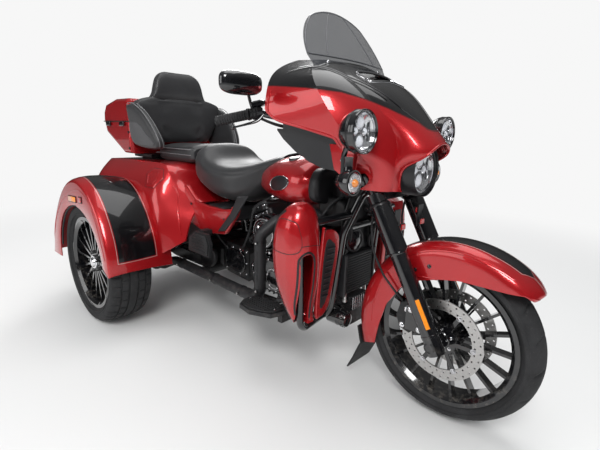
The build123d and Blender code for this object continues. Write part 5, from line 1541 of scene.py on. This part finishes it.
# Air cleaner cover
cleaner = Vector((0.206, -0.194, 0.578))
engine.lathe([(-0.040, 0.0800), (-0.036, 0.0845), (-0.030, 0.0850), (-0.020, 0.0845), (-0.016, 0.0800)],
             cleaner, (0, -1, 0), "satin", 56, closed=True)
engine.lathe([(-0.004, 0.0715), (0.001, 0.0700), (0.0035, 0.0640), (0.0040, 0.0520), (0.0015, 0.0495),
              (0.0015, 0.0300), (0.0045, 0.0260), (0.0060, 0.0140), (0.0062, 0.0010)], cleaner, (0, -1, 0),
             "black", 56)
engine.lathe([(0.0022, 0.0665), (0.0042, 0.0645), (0.0042, 0.0625), (0.0022, 0.0615)], cleaner, (0, -1, 0),
             "fin_edge", 56, closed=True)
for k in range(3):
    a = 2 * math.pi * k / 3 + 0.5
    engine.bolt(cleaner + Vector((math.cos(a) * 0.040, -0.0014, math.sin(a) * 0.040)), (0, -1, 0), 0.0052)
# Oil filter, gearbox cover, starter, sump ribs, throttle body and lines
filter_at, filter_way = Vector((0.392, -0.045, 0.352)), Vector((0.94, 0, -0.34))
engine.lathe([(0, 0.036), (0.004, 0.040), (0.070, 0.040), (0.082, 0.036), (0.086, 0.024), (0.086, 0.001)],
             filter_at, filter_way, "black", 36)
for a in round_angles(12):
    rim = Vector((-filter_way.z * math.cos(a), math.sin(a), filter_way.x * math.cos(a)))
    engine.box(filter_at + filter_way * 0.078 + rim * 0.036, (0.010, 0.005, 0.005), "satin", edge=0.001)
for x, z in straight(((-0.200, 0.290), (-0.030, 0.280), (-0.030, 0.415), (-0.200, 0.415)), 10, True):
    engine.bolt((x, -0.100, z), (0, -1, 0), 0.0045)
engine.slab([(x, -0.100, z) for x,
             z in catmull(((-0.18, 0.300), (-0.05, 0.298), (-0.045, 0.395), (-0.175, 0.398)), 40, True)],
            (0, -1, 0), 0.012, "black", round_edge=0.004)
engine.lathe([(0, 0.030), (0.010, 0.034), (0.120, 0.034), (0.128, 0.028), (0.128, 0.001)],
             (-0.030, -0.060, 0.474), (0, 1, 0), "black", 32)
for k in range(9):
    engine.box((0.055 + 0.034 * k, 0, 0.2385), (0.006, 0.165, 0.016), "wrinkle", edge=0.0015)
engine.lathe([(0, 0.034), (0.050, 0.034), (0.054, 0.028), (0.054, 0.001)], (0.190, -0.030, 0.585),
             (0, 0.2, 1), "satin", 32)
for route in (
    [(0.392, 0.030, 0.420), (0.440, 0.060, 0.500), (0.500, 0.050, 0.620), (0.560, 0.030, 0.740)],
    [(0.560, -0.050, 0.270), (0.500, -0.085, 0.330), (0.440, -0.080, 0.420), (0.398, -0.060, 0.400)],
    [(0.575, -0.030, 0.285), (0.520, -0.060, 0.360), (0.470, -0.050, 0.430), (0.396, -0.030, 0.380)],
    [(-0.050, -0.118, 0.420), (0.020, -0.150, 0.480), (0.060, -0.150, 0.560), (0.040, -0.100, 0.660),
     (0.120, -0.050, 0.720)],
    [(-0.180, -0.112, 0.410), (-0.230, -0.150, 0.500), (-0.200, -0.150, 0.600), (-0.120, -0.100, 0.640)],
    [(0.300, 0.110, 0.440), (0.360, 0.120, 0.540), (0.400, 0.070, 0.660), (0.430, 0.040, 0.740)],
):
    engine.tube(route, 0.0062, "rubber", 10, 36)
    for end in (0, -1):
        engine.lathe([(-0.008, 0.0085), (0.008, 0.0085)], route[end],
                     Vector(route[1 if end == 0 else -2]) - Vector(route[end]), "chrome", 8, smooth=False)
engine.make("black_gloss")

# Exhaust: clamps, shield ribs and tips

pipes = Group("exhaust_shields", "chassis")
for place, way in (((0.262, -0.262, 0.560), (0, 0, 1)), ((0.262, -0.262, 0.340), (0, 0, 1)),
                   ((0.130, -0.254, 0.287), (1, 0.04, 0)), ((-0.100, -0.246, 0.2842), (1, 0, 0)),
                   ((-0.420, -0.246, 0.2875), (1, 0, 0))):
    pipes.lathe([(-0.007, 0.0262), (-0.006, 0.0285), (0.006, 0.0285), (0.007, 0.0262)], place, way, "satin",
                32, closed=True)
    out = Vector((0, -1, 0)) if abs(way[2]) < 0.5 else Vector((0.3, -0.95, 0)).normalized()
    pipes.box(Vector(place) + out * 0.032, (0.010, 0.010, 0.010), "satin", edge=0.002)
    pipes.bolt(Vector(place) + out * 0.036, out, 0.0036, "steel", 0.6)
for k in range(4):
    pipes.box((0.2685, -0.2885, 0.400 + 0.036 * k), (0.006, 0.0022, 0.024), "satin", edge=0.001)
for side in (-1, 1):
    tip = Vector((-1.215, side * 0.246, 0.222))
    pipes.lathe([(-0.0, 0.0462), (0.012, 0.0475), (0.014, 0.0470), (0.014, 0.0390), (0.040, 0.0375),
                 (0.090, 0.0370), (0.090, 0.0455)], tip, (1, 0, 0), "black", 48, closed=True)
    for x in (-0.80, -1.05):
        pipes.lathe([(-0.008, 0.0462), (-0.007, 0.0480), (0.007, 0.0480), (0.008, 0.0462)],
                    (x, side * 0.246, 0.222), (1, 0, 0), "matt", 40, closed=True)
pipes.make("black_satin")

# Lower fairings: edge trim, storage door, seams and slot rims

pods = Group("pod_trim", "chassis")
for side in (-1, 1):
    view = seen_from(side)
    strip(pods, "lower_fairings", view,
          [(0.522, 0.752), (0.480, 0.716), (0.458, 0.660), (0.452, 0.570), (0.468, 0.480), (0.500, 0.400),
           (0.545, 0.330)], 0.016, 0.003, "satin", 60)
    door = ((0.500, 0.716), (0.560, 0.722), (0.590, 0.700), (0.596, 0.610), (0.480, 0.606), (0.474, 0.650))
    strip(pods, "lower_fairings", view, door, 0.0032, 0.0008, "matt", 120, True)
    laid(pods, "lower_fairings", view,
         [(0.540 + (x - 0.535) * 0.93, 0.664 + (z - 0.664) * 0.93) for x, z in door], 0.0016, "red", 80)
    slot = [(-0.346, 0.322), (-0.360, 0.360), (-0.371, 0.430), (-0.3745, 0.560), (-0.366, 0.594),
            (-0.342, 0.608), (-0.318, 0.594), (-0.3095, 0.560), (-0.3105, 0.430), (-0.310, 0.340)]
    strip(pods, "lower_fairings", "front", [(side * -y, z) for y, z in slot], 0.009, 0.003, "satin", 110)
    strip(pods, "lower_fairings", "front",
          [(side * y, z) for y, z in ((0.384, 0.628), (0.342, 0.632), (0.290, 0.626), (0.246, 0.612))],
          0.0030, 0.0008, "matt", 40)
    strip(pods, "lower_fairings", "front",
          [(side * y, z) for y, z in ((0.262, 0.585), (0.264, 0.500), (0.272, 0.420), (0.284, 0.350))], 0.013,
          0.0012, "matt", 40)
pods.make("red_gloss")

# Footboards with ribbed rubber, pedals

boards = Group("board_pads", "chassis")
RIDER = ((0.244, 0.332), (0.256, 0.292), (0.304, 0.268), (0.424, 0.268), (0.436, 0.300), (0.422, 0.344),
         (0.340, 0.380), (0.270, 0.368))
for side in (-1, 1):
    boards.slab([(x, side * y, 0.306) for x, y in catmull(RIDER, 60, True)], (0, 0, 1), 0.007, "rubber",
                round_edge=0.002)
    for k in range(6):
        y = 0.284 + 0.014 * k
        half = 0.085 - 0.010 * max(k - 2, 0)
        boards.box((0.340, side * y, 0.3145), (2 * half, 0.0060, 0.005), "rubber", edge=0.0015)
    for x in (0.262, 0.418):
        boards.bolt((x, side * 0.318, 0.313), (0, 0, 1), 0.0050, "chrome", 0.4)
    boards.side_slab(side, 0.3405, ((-0.182, 0.444), (-0.024, 0.444), (-0.016, 0.498), (-0.036, 0.538),
                                    (-0.128, 0.538), (-0.176, 0.506)), 0.006, "rubber", round_edge=0.002)
    for k in range(5):
        boards.box((-0.100, side * 0.3475, 0.458 + 0.016 * k), (0.120 - 0.008 * k, 0.004, 0.006), "rubber",
                   edge=0.0012)
    # Pedal or shifter
    boards.tube([(0.300, side * 0.180, 0.285), (0.360, side * 0.236, 0.300), (0.440, side * 0.262, 0.352),
                 (0.462, side * 0.285, 0.366)], [0.010, 0.009, 0.008, 0.008], "black", 12, 30)
    boards.box((0.462, side * 0.300, 0.372), (0.050, 0.060, 0.014), "rubber",
               Matrix.Rotation(math.radians(-18), 3, "Y"), 0.004)
boards.make("rubber")


# Tank badge: a bare oval pressed onto each side

SKINS["tank_shell"] = TANK_SKIN
badges = Group("tank_badges", "chassis")
for side in (-1, 1):
    oval = [(0.284 + 0.068 * math.cos(a), 0.811 + 0.012 * math.cos(a) + 0.031 * math.sin(a))
            for a in round_angles(44)]
    laid(badges, "tank_shell", seen_from(side), oval, 0.0035, "satin", 88, straight)
    strip(badges, "tank_shell", seen_from(side), oval, 0.005, 0.0045, "chrome", 88, True, straight)
badges.make("steel")

# Front of the frame: cooler, horn, wiring and the neck's cover, with a dark collar round the tank's nose that
# is painted shade

front = Group("frame_front_fittings", "chassis")
front.box((0.592, 0, 0.455), (0.030, 0.200, 0.170), "satin", edge=0.004)
for k in range(15):
    front.box((0.6085, 0, 0.380 + 0.0108 * k), (0.006, 0.176, 0.0034), "wrinkle", edge=0.0008)
for side in (-1, 1):
    front.box((0.594, side * 0.102, 0.455), (0.040, 0.016, 0.182), "plastic", edge=0.005)
    front.lathe([(0, 0.009), (0.030, 0.009), (0.032, 0.011), (0.044, 0.011)], (0.590, side * 0.070, 0.372),
                (0, 0, -1), "steel", 16)
front.lathe([(0, 0.012), (0.020, 0.014), (0.024, 0.050), (0.030, 0.053), (0.036, 0.050), (0.037, 0.030),
             (0.044, 0.022), (0.045, 0.004)], (0.572, -0.040, 0.598), (1, -0.15, 0), "black", 40)
front.lathe([(0.0365, 0.049), (0.039, 0.047), (0.039, 0.042), (0.0365, 0.040)], (0.572, -0.040, 0.598),
            (1, -0.15, 0), "satin", 40, closed=True)
front.front_slab(0.575, ((-0.112, 0.530), (0.112, 0.530), (0.104, 0.680), (0.060, 0.775), (-0.060, 0.775),
                         (-0.104, 0.680)), 0.010, "plastic", round_edge=0.004)
front.slab([(x, -0.058, z) for x,
            z in catmull(((0.470, 0.735), (0.585, 0.770), (0.606, 0.805), (0.584, 0.838), (0.520, 0.850),
                          (0.462, 0.850)), 40, True)], (0, 1, 0), 0.116, "plastic", round_edge=0.022)
front.slab([(x, -0.088, z) for x,
            z in catmull(((0.455, 0.650), (0.560, 0.660), (0.575, 0.740), (0.500, 0.770), (0.440, 0.750)), 40,
                         True)], (0, 1, 0), 0.176, "wrinkle", round_edge=0.016)
for side in (-1, 1):
    for n, (y, z) in enumerate(((0.050, 0.720), (0.072, 0.690), (0.040, 0.660))):
        front.box((0.584, side * y, z), (0.020, 0.030, 0.020), "plastic", edge=0.003)
        front.bolt((0.594, side * y, z), (1, 0, 0), 0.0045, "chrome", 0.5, n % 2 == 0)
    for route in (
        [(0.594, side * 0.052, 0.722), (0.622, side * 0.066, 0.700), (0.604, side * 0.084, 0.640),
         (0.590, side * 0.082, 0.560)],
        [(0.594, side * 0.074, 0.692), (0.618, side * 0.090, 0.660), (0.600, side * 0.070, 0.590),
         (0.592, side * 0.090, 0.540)],
        [(0.560, side * 0.030, 0.790), (0.520, side * 0.110, 0.740), (0.470, side * 0.125, 0.640),
         (0.430, side * 0.100, 0.520),
         (0.400, side * 0.110, 0.430)],
        [(0.545, side * 0.060, 0.780), (0.500, side * 0.130, 0.700), (0.450, side * 0.140, 0.600),
         (0.400, side * 0.120, 0.500)],
        [(0.588, side * 0.070, 0.338), (0.560, side * 0.050, 0.300), (0.480, side * 0.040, 0.290),
         (0.400, side * 0.050, 0.300)],
    ):
        front.tube(route, 0.0062, "rubber", 10, 40)
    front.box((0.470, side * 0.128, 0.690), (0.062, 0.030, 0.052), "plastic", Matrix.Rotation(0.4, 3, "Y"),
              0.006)
    front.bolt((0.470, side * 0.1435, 0.690), (0, side, 0), 0.0055, "chrome", 0.4)
    front.box((0.430, side * 0.128, 0.560), (0.045, 0.028, 0.090), "wrinkle", Matrix.Rotation(0.2, 3, "Y"),
              0.006)
for side in (-1, 1):
    baffle = ((-0.232, 0.430), (-0.214, 0.360), (-0.110, 0.350), (-0.100, 0.520), (-0.104, 0.690),
              (-0.170, 0.712), (-0.228, 0.660))
    front.slab([(0.446, -side * y, z) for y, z in baffle], (1, 0, 0), 0.008, "plastic", round_edge=0.003)
    for k in range(9):
        front.box((0.456, side * 0.166, 0.400 + 0.031 * k), (0.008, 0.100, 0.010), "matt",
                  Matrix.Rotation(0.5, 3, "Y"), 0.002)
front.front_slab(0.452, ((-0.104, 0.430), (0.104, 0.430), (0.110, 0.560), (0.096, 0.700), (-0.096, 0.700),
                         (-0.110, 0.560)), 0.016, "plastic", round_edge=0.005)
for k in range(6):
    front.box((0.470, 0, 0.480 + 0.036 * k), (0.008, 0.168, 0.011), "matt", Matrix.Rotation(0.4, 3, "Y"),
              0.0025)
for y, z in ((-0.086, 0.452), (0.086, 0.452), (-0.084, 0.684), (0.084, 0.684)):
    front.bolt((0.468, y, z), (1, 0, 0), 0.0048, "steel", 0.5)
# Dark plastic collar round the tank's nose: painted shade over the tank's front, which lies in shadow
NOSE_HALF, NOSE_LOW, NOSE_HIGH = 0.161, 0.737, 0.887
shade_collar = catmull(((-NOSE_HALF, 0.800), (-0.146, 0.756), (-0.080, NOSE_LOW), (0.080, NOSE_LOW), (0.146, 0.756),
                  (NOSE_HALF, 0.800), (0.148, 0.852), (0.096, NOSE_HIGH), (-0.096, NOSE_HIGH),
                  (-0.148, 0.852)), 80, True)
front.front_slab(0.434, shade_collar, 0.056, "plastic", round_edge=0.018)
# Inner wings of the lower fairings, with a louvred vent each
WING = ((0.268, 0.350), (0.236, 0.316), (0.196, 0.346), (0.177, 0.430), (0.168, 0.540), (0.166, 0.610),
        (0.178, 0.652), (0.210, 0.674), (0.250, 0.676), (0.268, 0.664))
WING_VENT = ((0.250, 0.380), (0.226, 0.366), (0.206, 0.420), (0.192, 0.540), (0.190, 0.590), (0.202, 0.620),
             (0.250, 0.624))
WING_FRONT, WING_LEAN, WING_MID = 0.588, 0.078, 0.377
for side in (-1, 1):
    for line, depth, thick, look in ((WING, 0, 0.014, "red"), (WING_VENT, 0.0125, 0.004, "matt")):
        wing = [(WING_FRONT + depth + WING_LEAN * (z - WING_MID), side * y, z) for y,
                z in catmull(line, 80, True)]
        front.slab(wing, (1, 0, -WING_LEAN), thick, look, round_edge=min(0.005, 0.35 * thick))
    for k in range(9):
        z = 0.408 + 0.0245 * k
        y = 0.2300 - 0.010 * k / 8
        front.box((WING_FRONT + 0.018 + WING_LEAN * (z - WING_MID), side * y, z),
                  (0.006, 0.038 + 0.010 * k / 8, 0.008), "satin", Matrix.Rotation(0.5, 3, "Y"), 0.002)
# Oil filter below the cooler
front.lathe([(0, 0.016), (0.002, 0.030), (0.006, 0.034), (0.052, 0.034), (0.054, 0.0352), (0.060, 0.0352),
             (0.062, 0.034), (0.088, 0.0335), (0.097, 0.029), (0.101, 0.018), (0.1015, 0.003)],
            (0.530, -0.092, 0.262), (1, 0, 0), "black", 40)
for turn in round_angles(14):
    front.box((0.612, -0.092 + 0.0335 * math.cos(turn), 0.262 + 0.0335 * math.sin(turn)),
              (0.016, 0.004, 0.004), "black", Matrix.Rotation(turn, 3, "X"), 0.001)
for k in range(8):
    front.box((0.620, -0.052 + 0.0149 * k, 0.322), (0.005, 0.004, 0.058), "fin_edge", edge=0.0008)
front.make("black_plastic")

# Luggage case: pan below it, seam rubber, latches and bolts

case = Group("case_fittings", "chassis")
CASE_SIDE, CASE_SEAM = 0.2922, 1.0662
case.slab([(x, y, 0.8505) for x,
           y in catmull(((-1.000, -0.205), (-0.790, -0.214), (-0.772, -0.180), (-0.772, 0.180),
                         (-0.790, 0.214), (-1.000, 0.205), (-1.020, 0.160), (-1.020, -0.160)), 72, True)],
          (0, 0, 1), 0.0225, "plastic", round_edge=0.006)
for side in (-1, 1):
    case.box((-1.058, side * (CASE_SIDE + 0.0012), CASE_SEAM - 0.0045), (0.360, 0.004, 0.006), "rubber",
             edge=0.001)
    if side < 0:
        for x in (-0.955, -1.150):
            case.slab([(x + u, side * (CASE_SIDE + 0.005), z) for u,
                       z in ((-0.026, 1.034), (0.026, 1.034), (0.030, 1.050), (0.022, 1.0605),
                             (-0.022, 1.0605), (-0.030, 1.050))], (0, side, 0), 0.010, "black",
                      round_edge=0.003)
            case.bolt((x, side * (CASE_SIDE + 0.010), 1.048), (0, side, 0), 0.007, "chrome", 0.3, False)
    for x, z in ((-0.890, 1.000), (-0.890, 0.905)):
        case.bolt((x, side * CASE_SIDE, z), (0, side, 0), 0.006, "satin", 0.4, False)
case.make("black_gloss")

# Rear fenders: rolled arch lip, markers and a bead along the arch

LIP_RADIUS = 0.309
marks = Group("fender_markers", "chassis")
for side in (-1, 1):
    view = seen_from(side)
    lip = [Vector((REAR_HUB_X + LIP_RADIUS * math.cos(a), side * 0.6860,
                   REAR_HUB_Z + LIP_RADIUS * math.sin(a)))
           for a in (math.radians(degrees) for degrees in range(4, 178, 6))]
    marks.tube(lip, 0.0045, "rubber", 8, 60)
    for low, high, bottom, top, key in ((-0.762, -0.650, 0.650, 0.684, "amber"),
                                        (-0.612, -0.572, 0.652, 0.686, "red_lens")):
        tilt = 0.06
        plate = [(x, side * 0.6908, z + (x + 0.66) * tilt) for x,
                 z in ((low, bottom), (high, bottom), (high, top), (low, top))]
        marks.slab([tuple(p) for p in plate], (0, side, 0), 0.003, "plastic", round_edge=0.001)
        inner = [(x, side * 0.6912, z + (x + 0.66) * tilt) for x,
                 z in ((low + 0.004, bottom + 0.004), (high - 0.004, bottom + 0.004),
                       (high - 0.004, top - 0.004), (low + 0.004, top - 0.004))]
        marks.slab([tuple(p) for p in inner], (0, side, 0), 0.0036, key, round_edge=0.0012)
    rim = [(-1.128, 0.330), (-1.082, 0.430), (-1.005, 0.545), (-0.860, 0.660), (-0.640, 0.738),
           (-0.500, 0.702), (-0.420, 0.610), (-0.372, 0.505), (-0.340, 0.420)]
    strip(marks, "rear_fenders", view, [(x * 0.985 - 0.010, 0.325 + (z - 0.325) * 0.955) for x, z in rim],
          0.0055, 0.0018, "red", 70)
marks.make("red_gloss")

# Rear hubs

for side, hand in HANDS:
    node = "rear_wheel_" + hand
    cap = Group("rear_hub_" + hand, node)
    hits = [on_face(node, seen_from(side), REAR_HUB_X + 0.034 * math.cos(a), REAR_HUB_Z + 0.034 * math.sin(a))
            for a in (0.3, 1.9, 3.5, 5.1)]
    hub_face = max(abs(hit[0].y) for hit in hits if hit)
    centre = Vector((REAR_HUB_X, side * hub_face, REAR_HUB_Z))
    out = Vector((0, side, 0))
    cap.lathe([(-0.002, 0.038), (0.006, 0.038), (0.010, 0.035), (0.011, 0.026), (0.018, 0.023),
               (0.022, 0.014), (0.023, 0.001)], centre, out, "chrome", 40)
    for a in round_angles(5, 0.5):
        spot = centre + Vector((0.052 * math.cos(a), -side * 0.004, 0.052 * math.sin(a)))
        cap.lathe([(-0.002, 0.0125), (0.001, 0.0125), (0.002, 0.0105), (0.014, 0.0095), (0.018, 0.006),
                   (0.018, 0.001)], spot, out, "satin", 6, smooth=False)
    cap.lathe([(0, 0.0045), (0.030, 0.0035), (0.032, 0.0045), (0.040, 0.0045), (0.041, 0.001)],
              Vector((REAR_HUB_X + 0.205 * math.cos(1.2), centre.y * 0.98,
                      REAR_HUB_Z + 0.205 * math.sin(1.2))), out, "rubber", 12)
    cap.make("steel")


# Under the rear body: swing arm plates, dampers, belt guard, battery box and a tray

under = Group("underbody", "chassis")
for side in (-1, 1):
    under.side_slab(
        side, 0.168, catmull(((-0.200, 0.400), (-0.230, 0.300), (-0.420, 0.285), (-0.640, 0.290),
                              (-0.660, 0.360), (-0.440, 0.372)), 44, True), 0.024, "satin", round_edge=0.006)
    under.tube([(-0.330, side * 0.205, 0.500), (-0.420, side * 0.205, 0.440), (-0.560, side * 0.205, 0.350)],
               0.013, "chrome", 16, 12)
    for k in range(9):
        t = k / 8
        centre = Vector((-0.360 - 0.150 * t, side * 0.205, 0.480 - 0.096 * t))
        under.lathe([(-0.004, 0.026), (-0.002, 0.030), (0.002, 0.030), (0.004, 0.026)], centre,
                    (-0.842, 0, -0.539), "black", 24, closed=True)
under.slab([(x, 0.122, z) for x,
            z in catmull(((-0.090, 0.430), (-0.110, 0.290), (-0.400, 0.262), (-0.640, 0.262), (-0.690, 0.330),
                          (-0.640, 0.400), (-0.400, 0.420)), 60, True)], (0, 1, 0), 0.030, "plastic",
           round_edge=0.008)
under.box((-0.320, 0.0, 0.330), (0.180, 0.220, 0.130), "plastic", edge=0.010)
under.box((-0.500, 0.0, 0.420), (0.160, 0.560, 0.012), "plastic", edge=0.004)
for k in range(6):
    under.box((-0.320, -0.1115, 0.285 + 0.018 * k), (0.150, 0.004, 0.007), "matt", edge=0.001)
under.make("black_plastic")

# Tail: lamp rings and ribs, the hatch's blank plate, its lamp, handle and lock

tail = Group("tail_lamp_rings", "chassis")
for side in (-1, 1):
    view = seen_from(side)
    box_path = [(-1.206 + 0.0215 * squared(math.cos(a), 0.4), 0.610 + 0.0565 * squared(math.sin(a), 0.4))
                for a in round_angles(40)]
    strip(tail, "tail_lamps", view, box_path, 0.006, 0.003, "satin", 80, True, straight)
    for k in range(7):
        z = 0.570 + 0.0133 * k
        strip(tail, "tail_lamps", view, [(-1.222, z), (-1.206, z), (-1.190, z)], 0.0035, 0.0022, "red_lens",
              8)
tail.make("red_lens")
hatch = Group("hatch_fittings", "trunk_hatch")
NUMBER_PLATE = ((-0.094, 0.478), (0.094, 0.478), (0.098, 0.484), (0.098, 0.602), (0.094, 0.608),
                (-0.094, 0.608), (-0.098, 0.602), (-0.098, 0.484))
laid(hatch, "trunk_hatch", "rear", NUMBER_PLATE, 0.006, "plate", 60, straight)
strip(hatch, "trunk_hatch", "rear", NUMBER_PLATE, 0.009, 0.0085, "black", 80, True, straight)
for y in (-0.070, 0.070):
    face = on_face("trunk_hatch", "rear", y, 0.594)[0]
    hatch.bolt(face + Vector((-0.0065, 0, 0)), (-1, 0, 0), 0.005)
lamp_face = on_face("trunk_hatch", "rear", 0.0, 0.635)[0]
hatch.box(lamp_face + Vector((-0.0055, 0, 0)), (0.013, 0.110, 0.022), "black", edge=0.006)
hatch.box(lamp_face + Vector((-0.0065, 0, -0.0105)), (0.008, 0.080, 0.003), "led", edge=0.001)
handle = on_face("trunk_hatch", "rear", 0.0, 0.720)[0]
hatch.box(handle + Vector((-0.004, 0, 0)), (0.008, 0.170, 0.040), "black", edge=0.003)
hatch.box(handle + Vector((-0.0085, 0, 0.008)), (0.007, 0.140, 0.014), "satin", edge=0.004)
hatch.lathe([(0, 0.011), (0.005, 0.011), (0.006, 0.009), (0.006, 0.001)], handle + Vector((-0.004, 0.115, 0)),
            (-1, 0, 0), "chrome", 24)
for side in (-1, 1):
    strip(hatch, "trunk_hatch", "rear", [(side * 0.302, 0.440), (side * 0.302, 0.470), (side * 0.302, 0.500)],
          0.022, 0.005, "red_lens", 12, False, straight)
strip(hatch, "trunk_hatch", "rear", [(-0.300, 0.425), (0.0, 0.425), (0.300, 0.425)], 0.010, 0.0015, "satin",
      40, False, straight)
hatch.make("red_gloss")


# Floor, lights and world

BACKDROP = 0.93
FLOOR_HALF = 30.0
FLOOR_FADE = (1.7, 4.6)
floor_mesh = bpy.data.meshes.new("floor")
floor_mesh.from_pydata([(-FLOOR_HALF, -FLOOR_HALF, 0), (FLOOR_HALF, -FLOOR_HALF, 0),
                        (FLOOR_HALF, FLOOR_HALF, 0), (-FLOOR_HALF, FLOOR_HALF, 0)], [], [(0, 1, 2, 3)])
floor_shade = Shade("floor_matt", (0.76, 0.76, 0.75), 0.9, Specular_IOR_Level=0.1)
floor_shade.tint(floor_shade.noise(0.8).step(0.3, 0.7) * 0.15, (0.72, 0.72, 0.71))
floor_x, floor_y, _ = floor_shade.place()
distance = (floor_x * floor_x + floor_y * floor_y).math("SQRT")
tree = floor_shade.tree
far = tree.nodes.new("ShaderNodeEmission")
far.inputs["Color"].default_value = (1, 1, 1, 1)
far.inputs["Strength"].default_value = BACKDROP
eye = Val(tree, tree.nodes.new("ShaderNodeLightPath").outputs["Is Camera Ray"])
blend = tree.nodes.new("ShaderNodeMixShader")
tree.links.new((distance.step(*FLOOR_FADE) * eye).socket, blend.inputs["Fac"])
tree.links.new(floor_shade.bsdf.outputs[0], blend.inputs[1])
tree.links.new(far.outputs[0], blend.inputs[2])
tree.links.new(blend.outputs[0], tree.nodes["Material Output"].inputs["Surface"])
floor_mesh.materials.append(floor_shade.done())
floor = bpy.data.objects.new("floor", floor_mesh)
bpy.context.scene.collection.objects.link(floor)

LIGHTS = (
    # name, place, aimed at, size, watts
    ("key", (2.4, -3.0, 3.6), (0.1, 0, 0.6), 1.6, 125.0),
    ("fill", (-1.4, -4.2, 2.0), (-0.3, 0, 0.6), 2.4, 42.0),
    ("back", (-3.2, 2.6, 3.4), (0, 0, 0.7), 2.0, 90.0),
    ("top", (0.2, 0.4, 4.4), (0, 0, 0.5), 3.0, 60.0),
)
for light_name, place, aim, size, watts in LIGHTS:
    data = bpy.data.lights.new(light_name, "AREA")
    data.size = size
    data.energy = watts
    lamp_object = bpy.data.objects.new(light_name, data)
    bpy.context.scene.collection.objects.link(lamp_object)
    way = Vector(aim) - Vector(place)
    lamp_object.matrix_world = Matrix.Translation(place) @ way.to_track_quat("-Z", "Y").to_matrix().to_4x4()

# The world: soft light, a darker sky for reflections with a bright top, and a pale ground for the eye
world = bpy.data.worlds.new("studio")
bpy.context.scene.world = world
world.use_nodes = True
tree = world.node_tree
tree.nodes.clear()
skies = []
SOFT_SKY, SOFT_STRENGTH = (0.95, 0.97, 1.0), 0.58
DARK_SKY, BRIGHT_TOP = 0.03, 0.22
WHITE = (1, 1, 1)
for colour, strength in ((SOFT_SKY, SOFT_STRENGTH), (WHITE, 1.0), (WHITE, BACKDROP)):
    sky = tree.nodes.new("ShaderNodeBackground")
    sky.inputs["Color"].default_value = (*colour, 1)
    sky.inputs["Strength"].default_value = strength
    skies.append(sky)
parts = tree.nodes.new("ShaderNodeSeparateXYZ")
tree.links.new(tree.nodes.new("ShaderNodeTexCoord").outputs["Generated"], parts.inputs[0])
rise = Val(tree, parts.outputs["Z"])
tree.links.new((rise.step(0.10, 0.90) * BRIGHT_TOP + DARK_SKY).socket, skies[1].inputs["Strength"])
path = tree.nodes.new("ShaderNodeLightPath")
seen = Val(tree, path.outputs["Is Camera Ray"]).most(Val(tree, path.outputs["Is Transmission Ray"]))
first, second = tree.nodes.new("ShaderNodeMixShader"), tree.nodes.new("ShaderNodeMixShader")
tree.links.new(path.outputs["Is Glossy Ray"], first.inputs["Fac"])
tree.links.new(skies[0].outputs[0], first.inputs[1])
tree.links.new(skies[1].outputs[0], first.inputs[2])
tree.links.new(seen.socket, second.inputs["Fac"])
tree.links.new(first.outputs[0], second.inputs[1])
tree.links.new(skies[2].outputs[0], second.inputs[2])
tree.links.new(second.outputs[0], tree.nodes.new("ShaderNodeOutputWorld").inputs["Surface"])
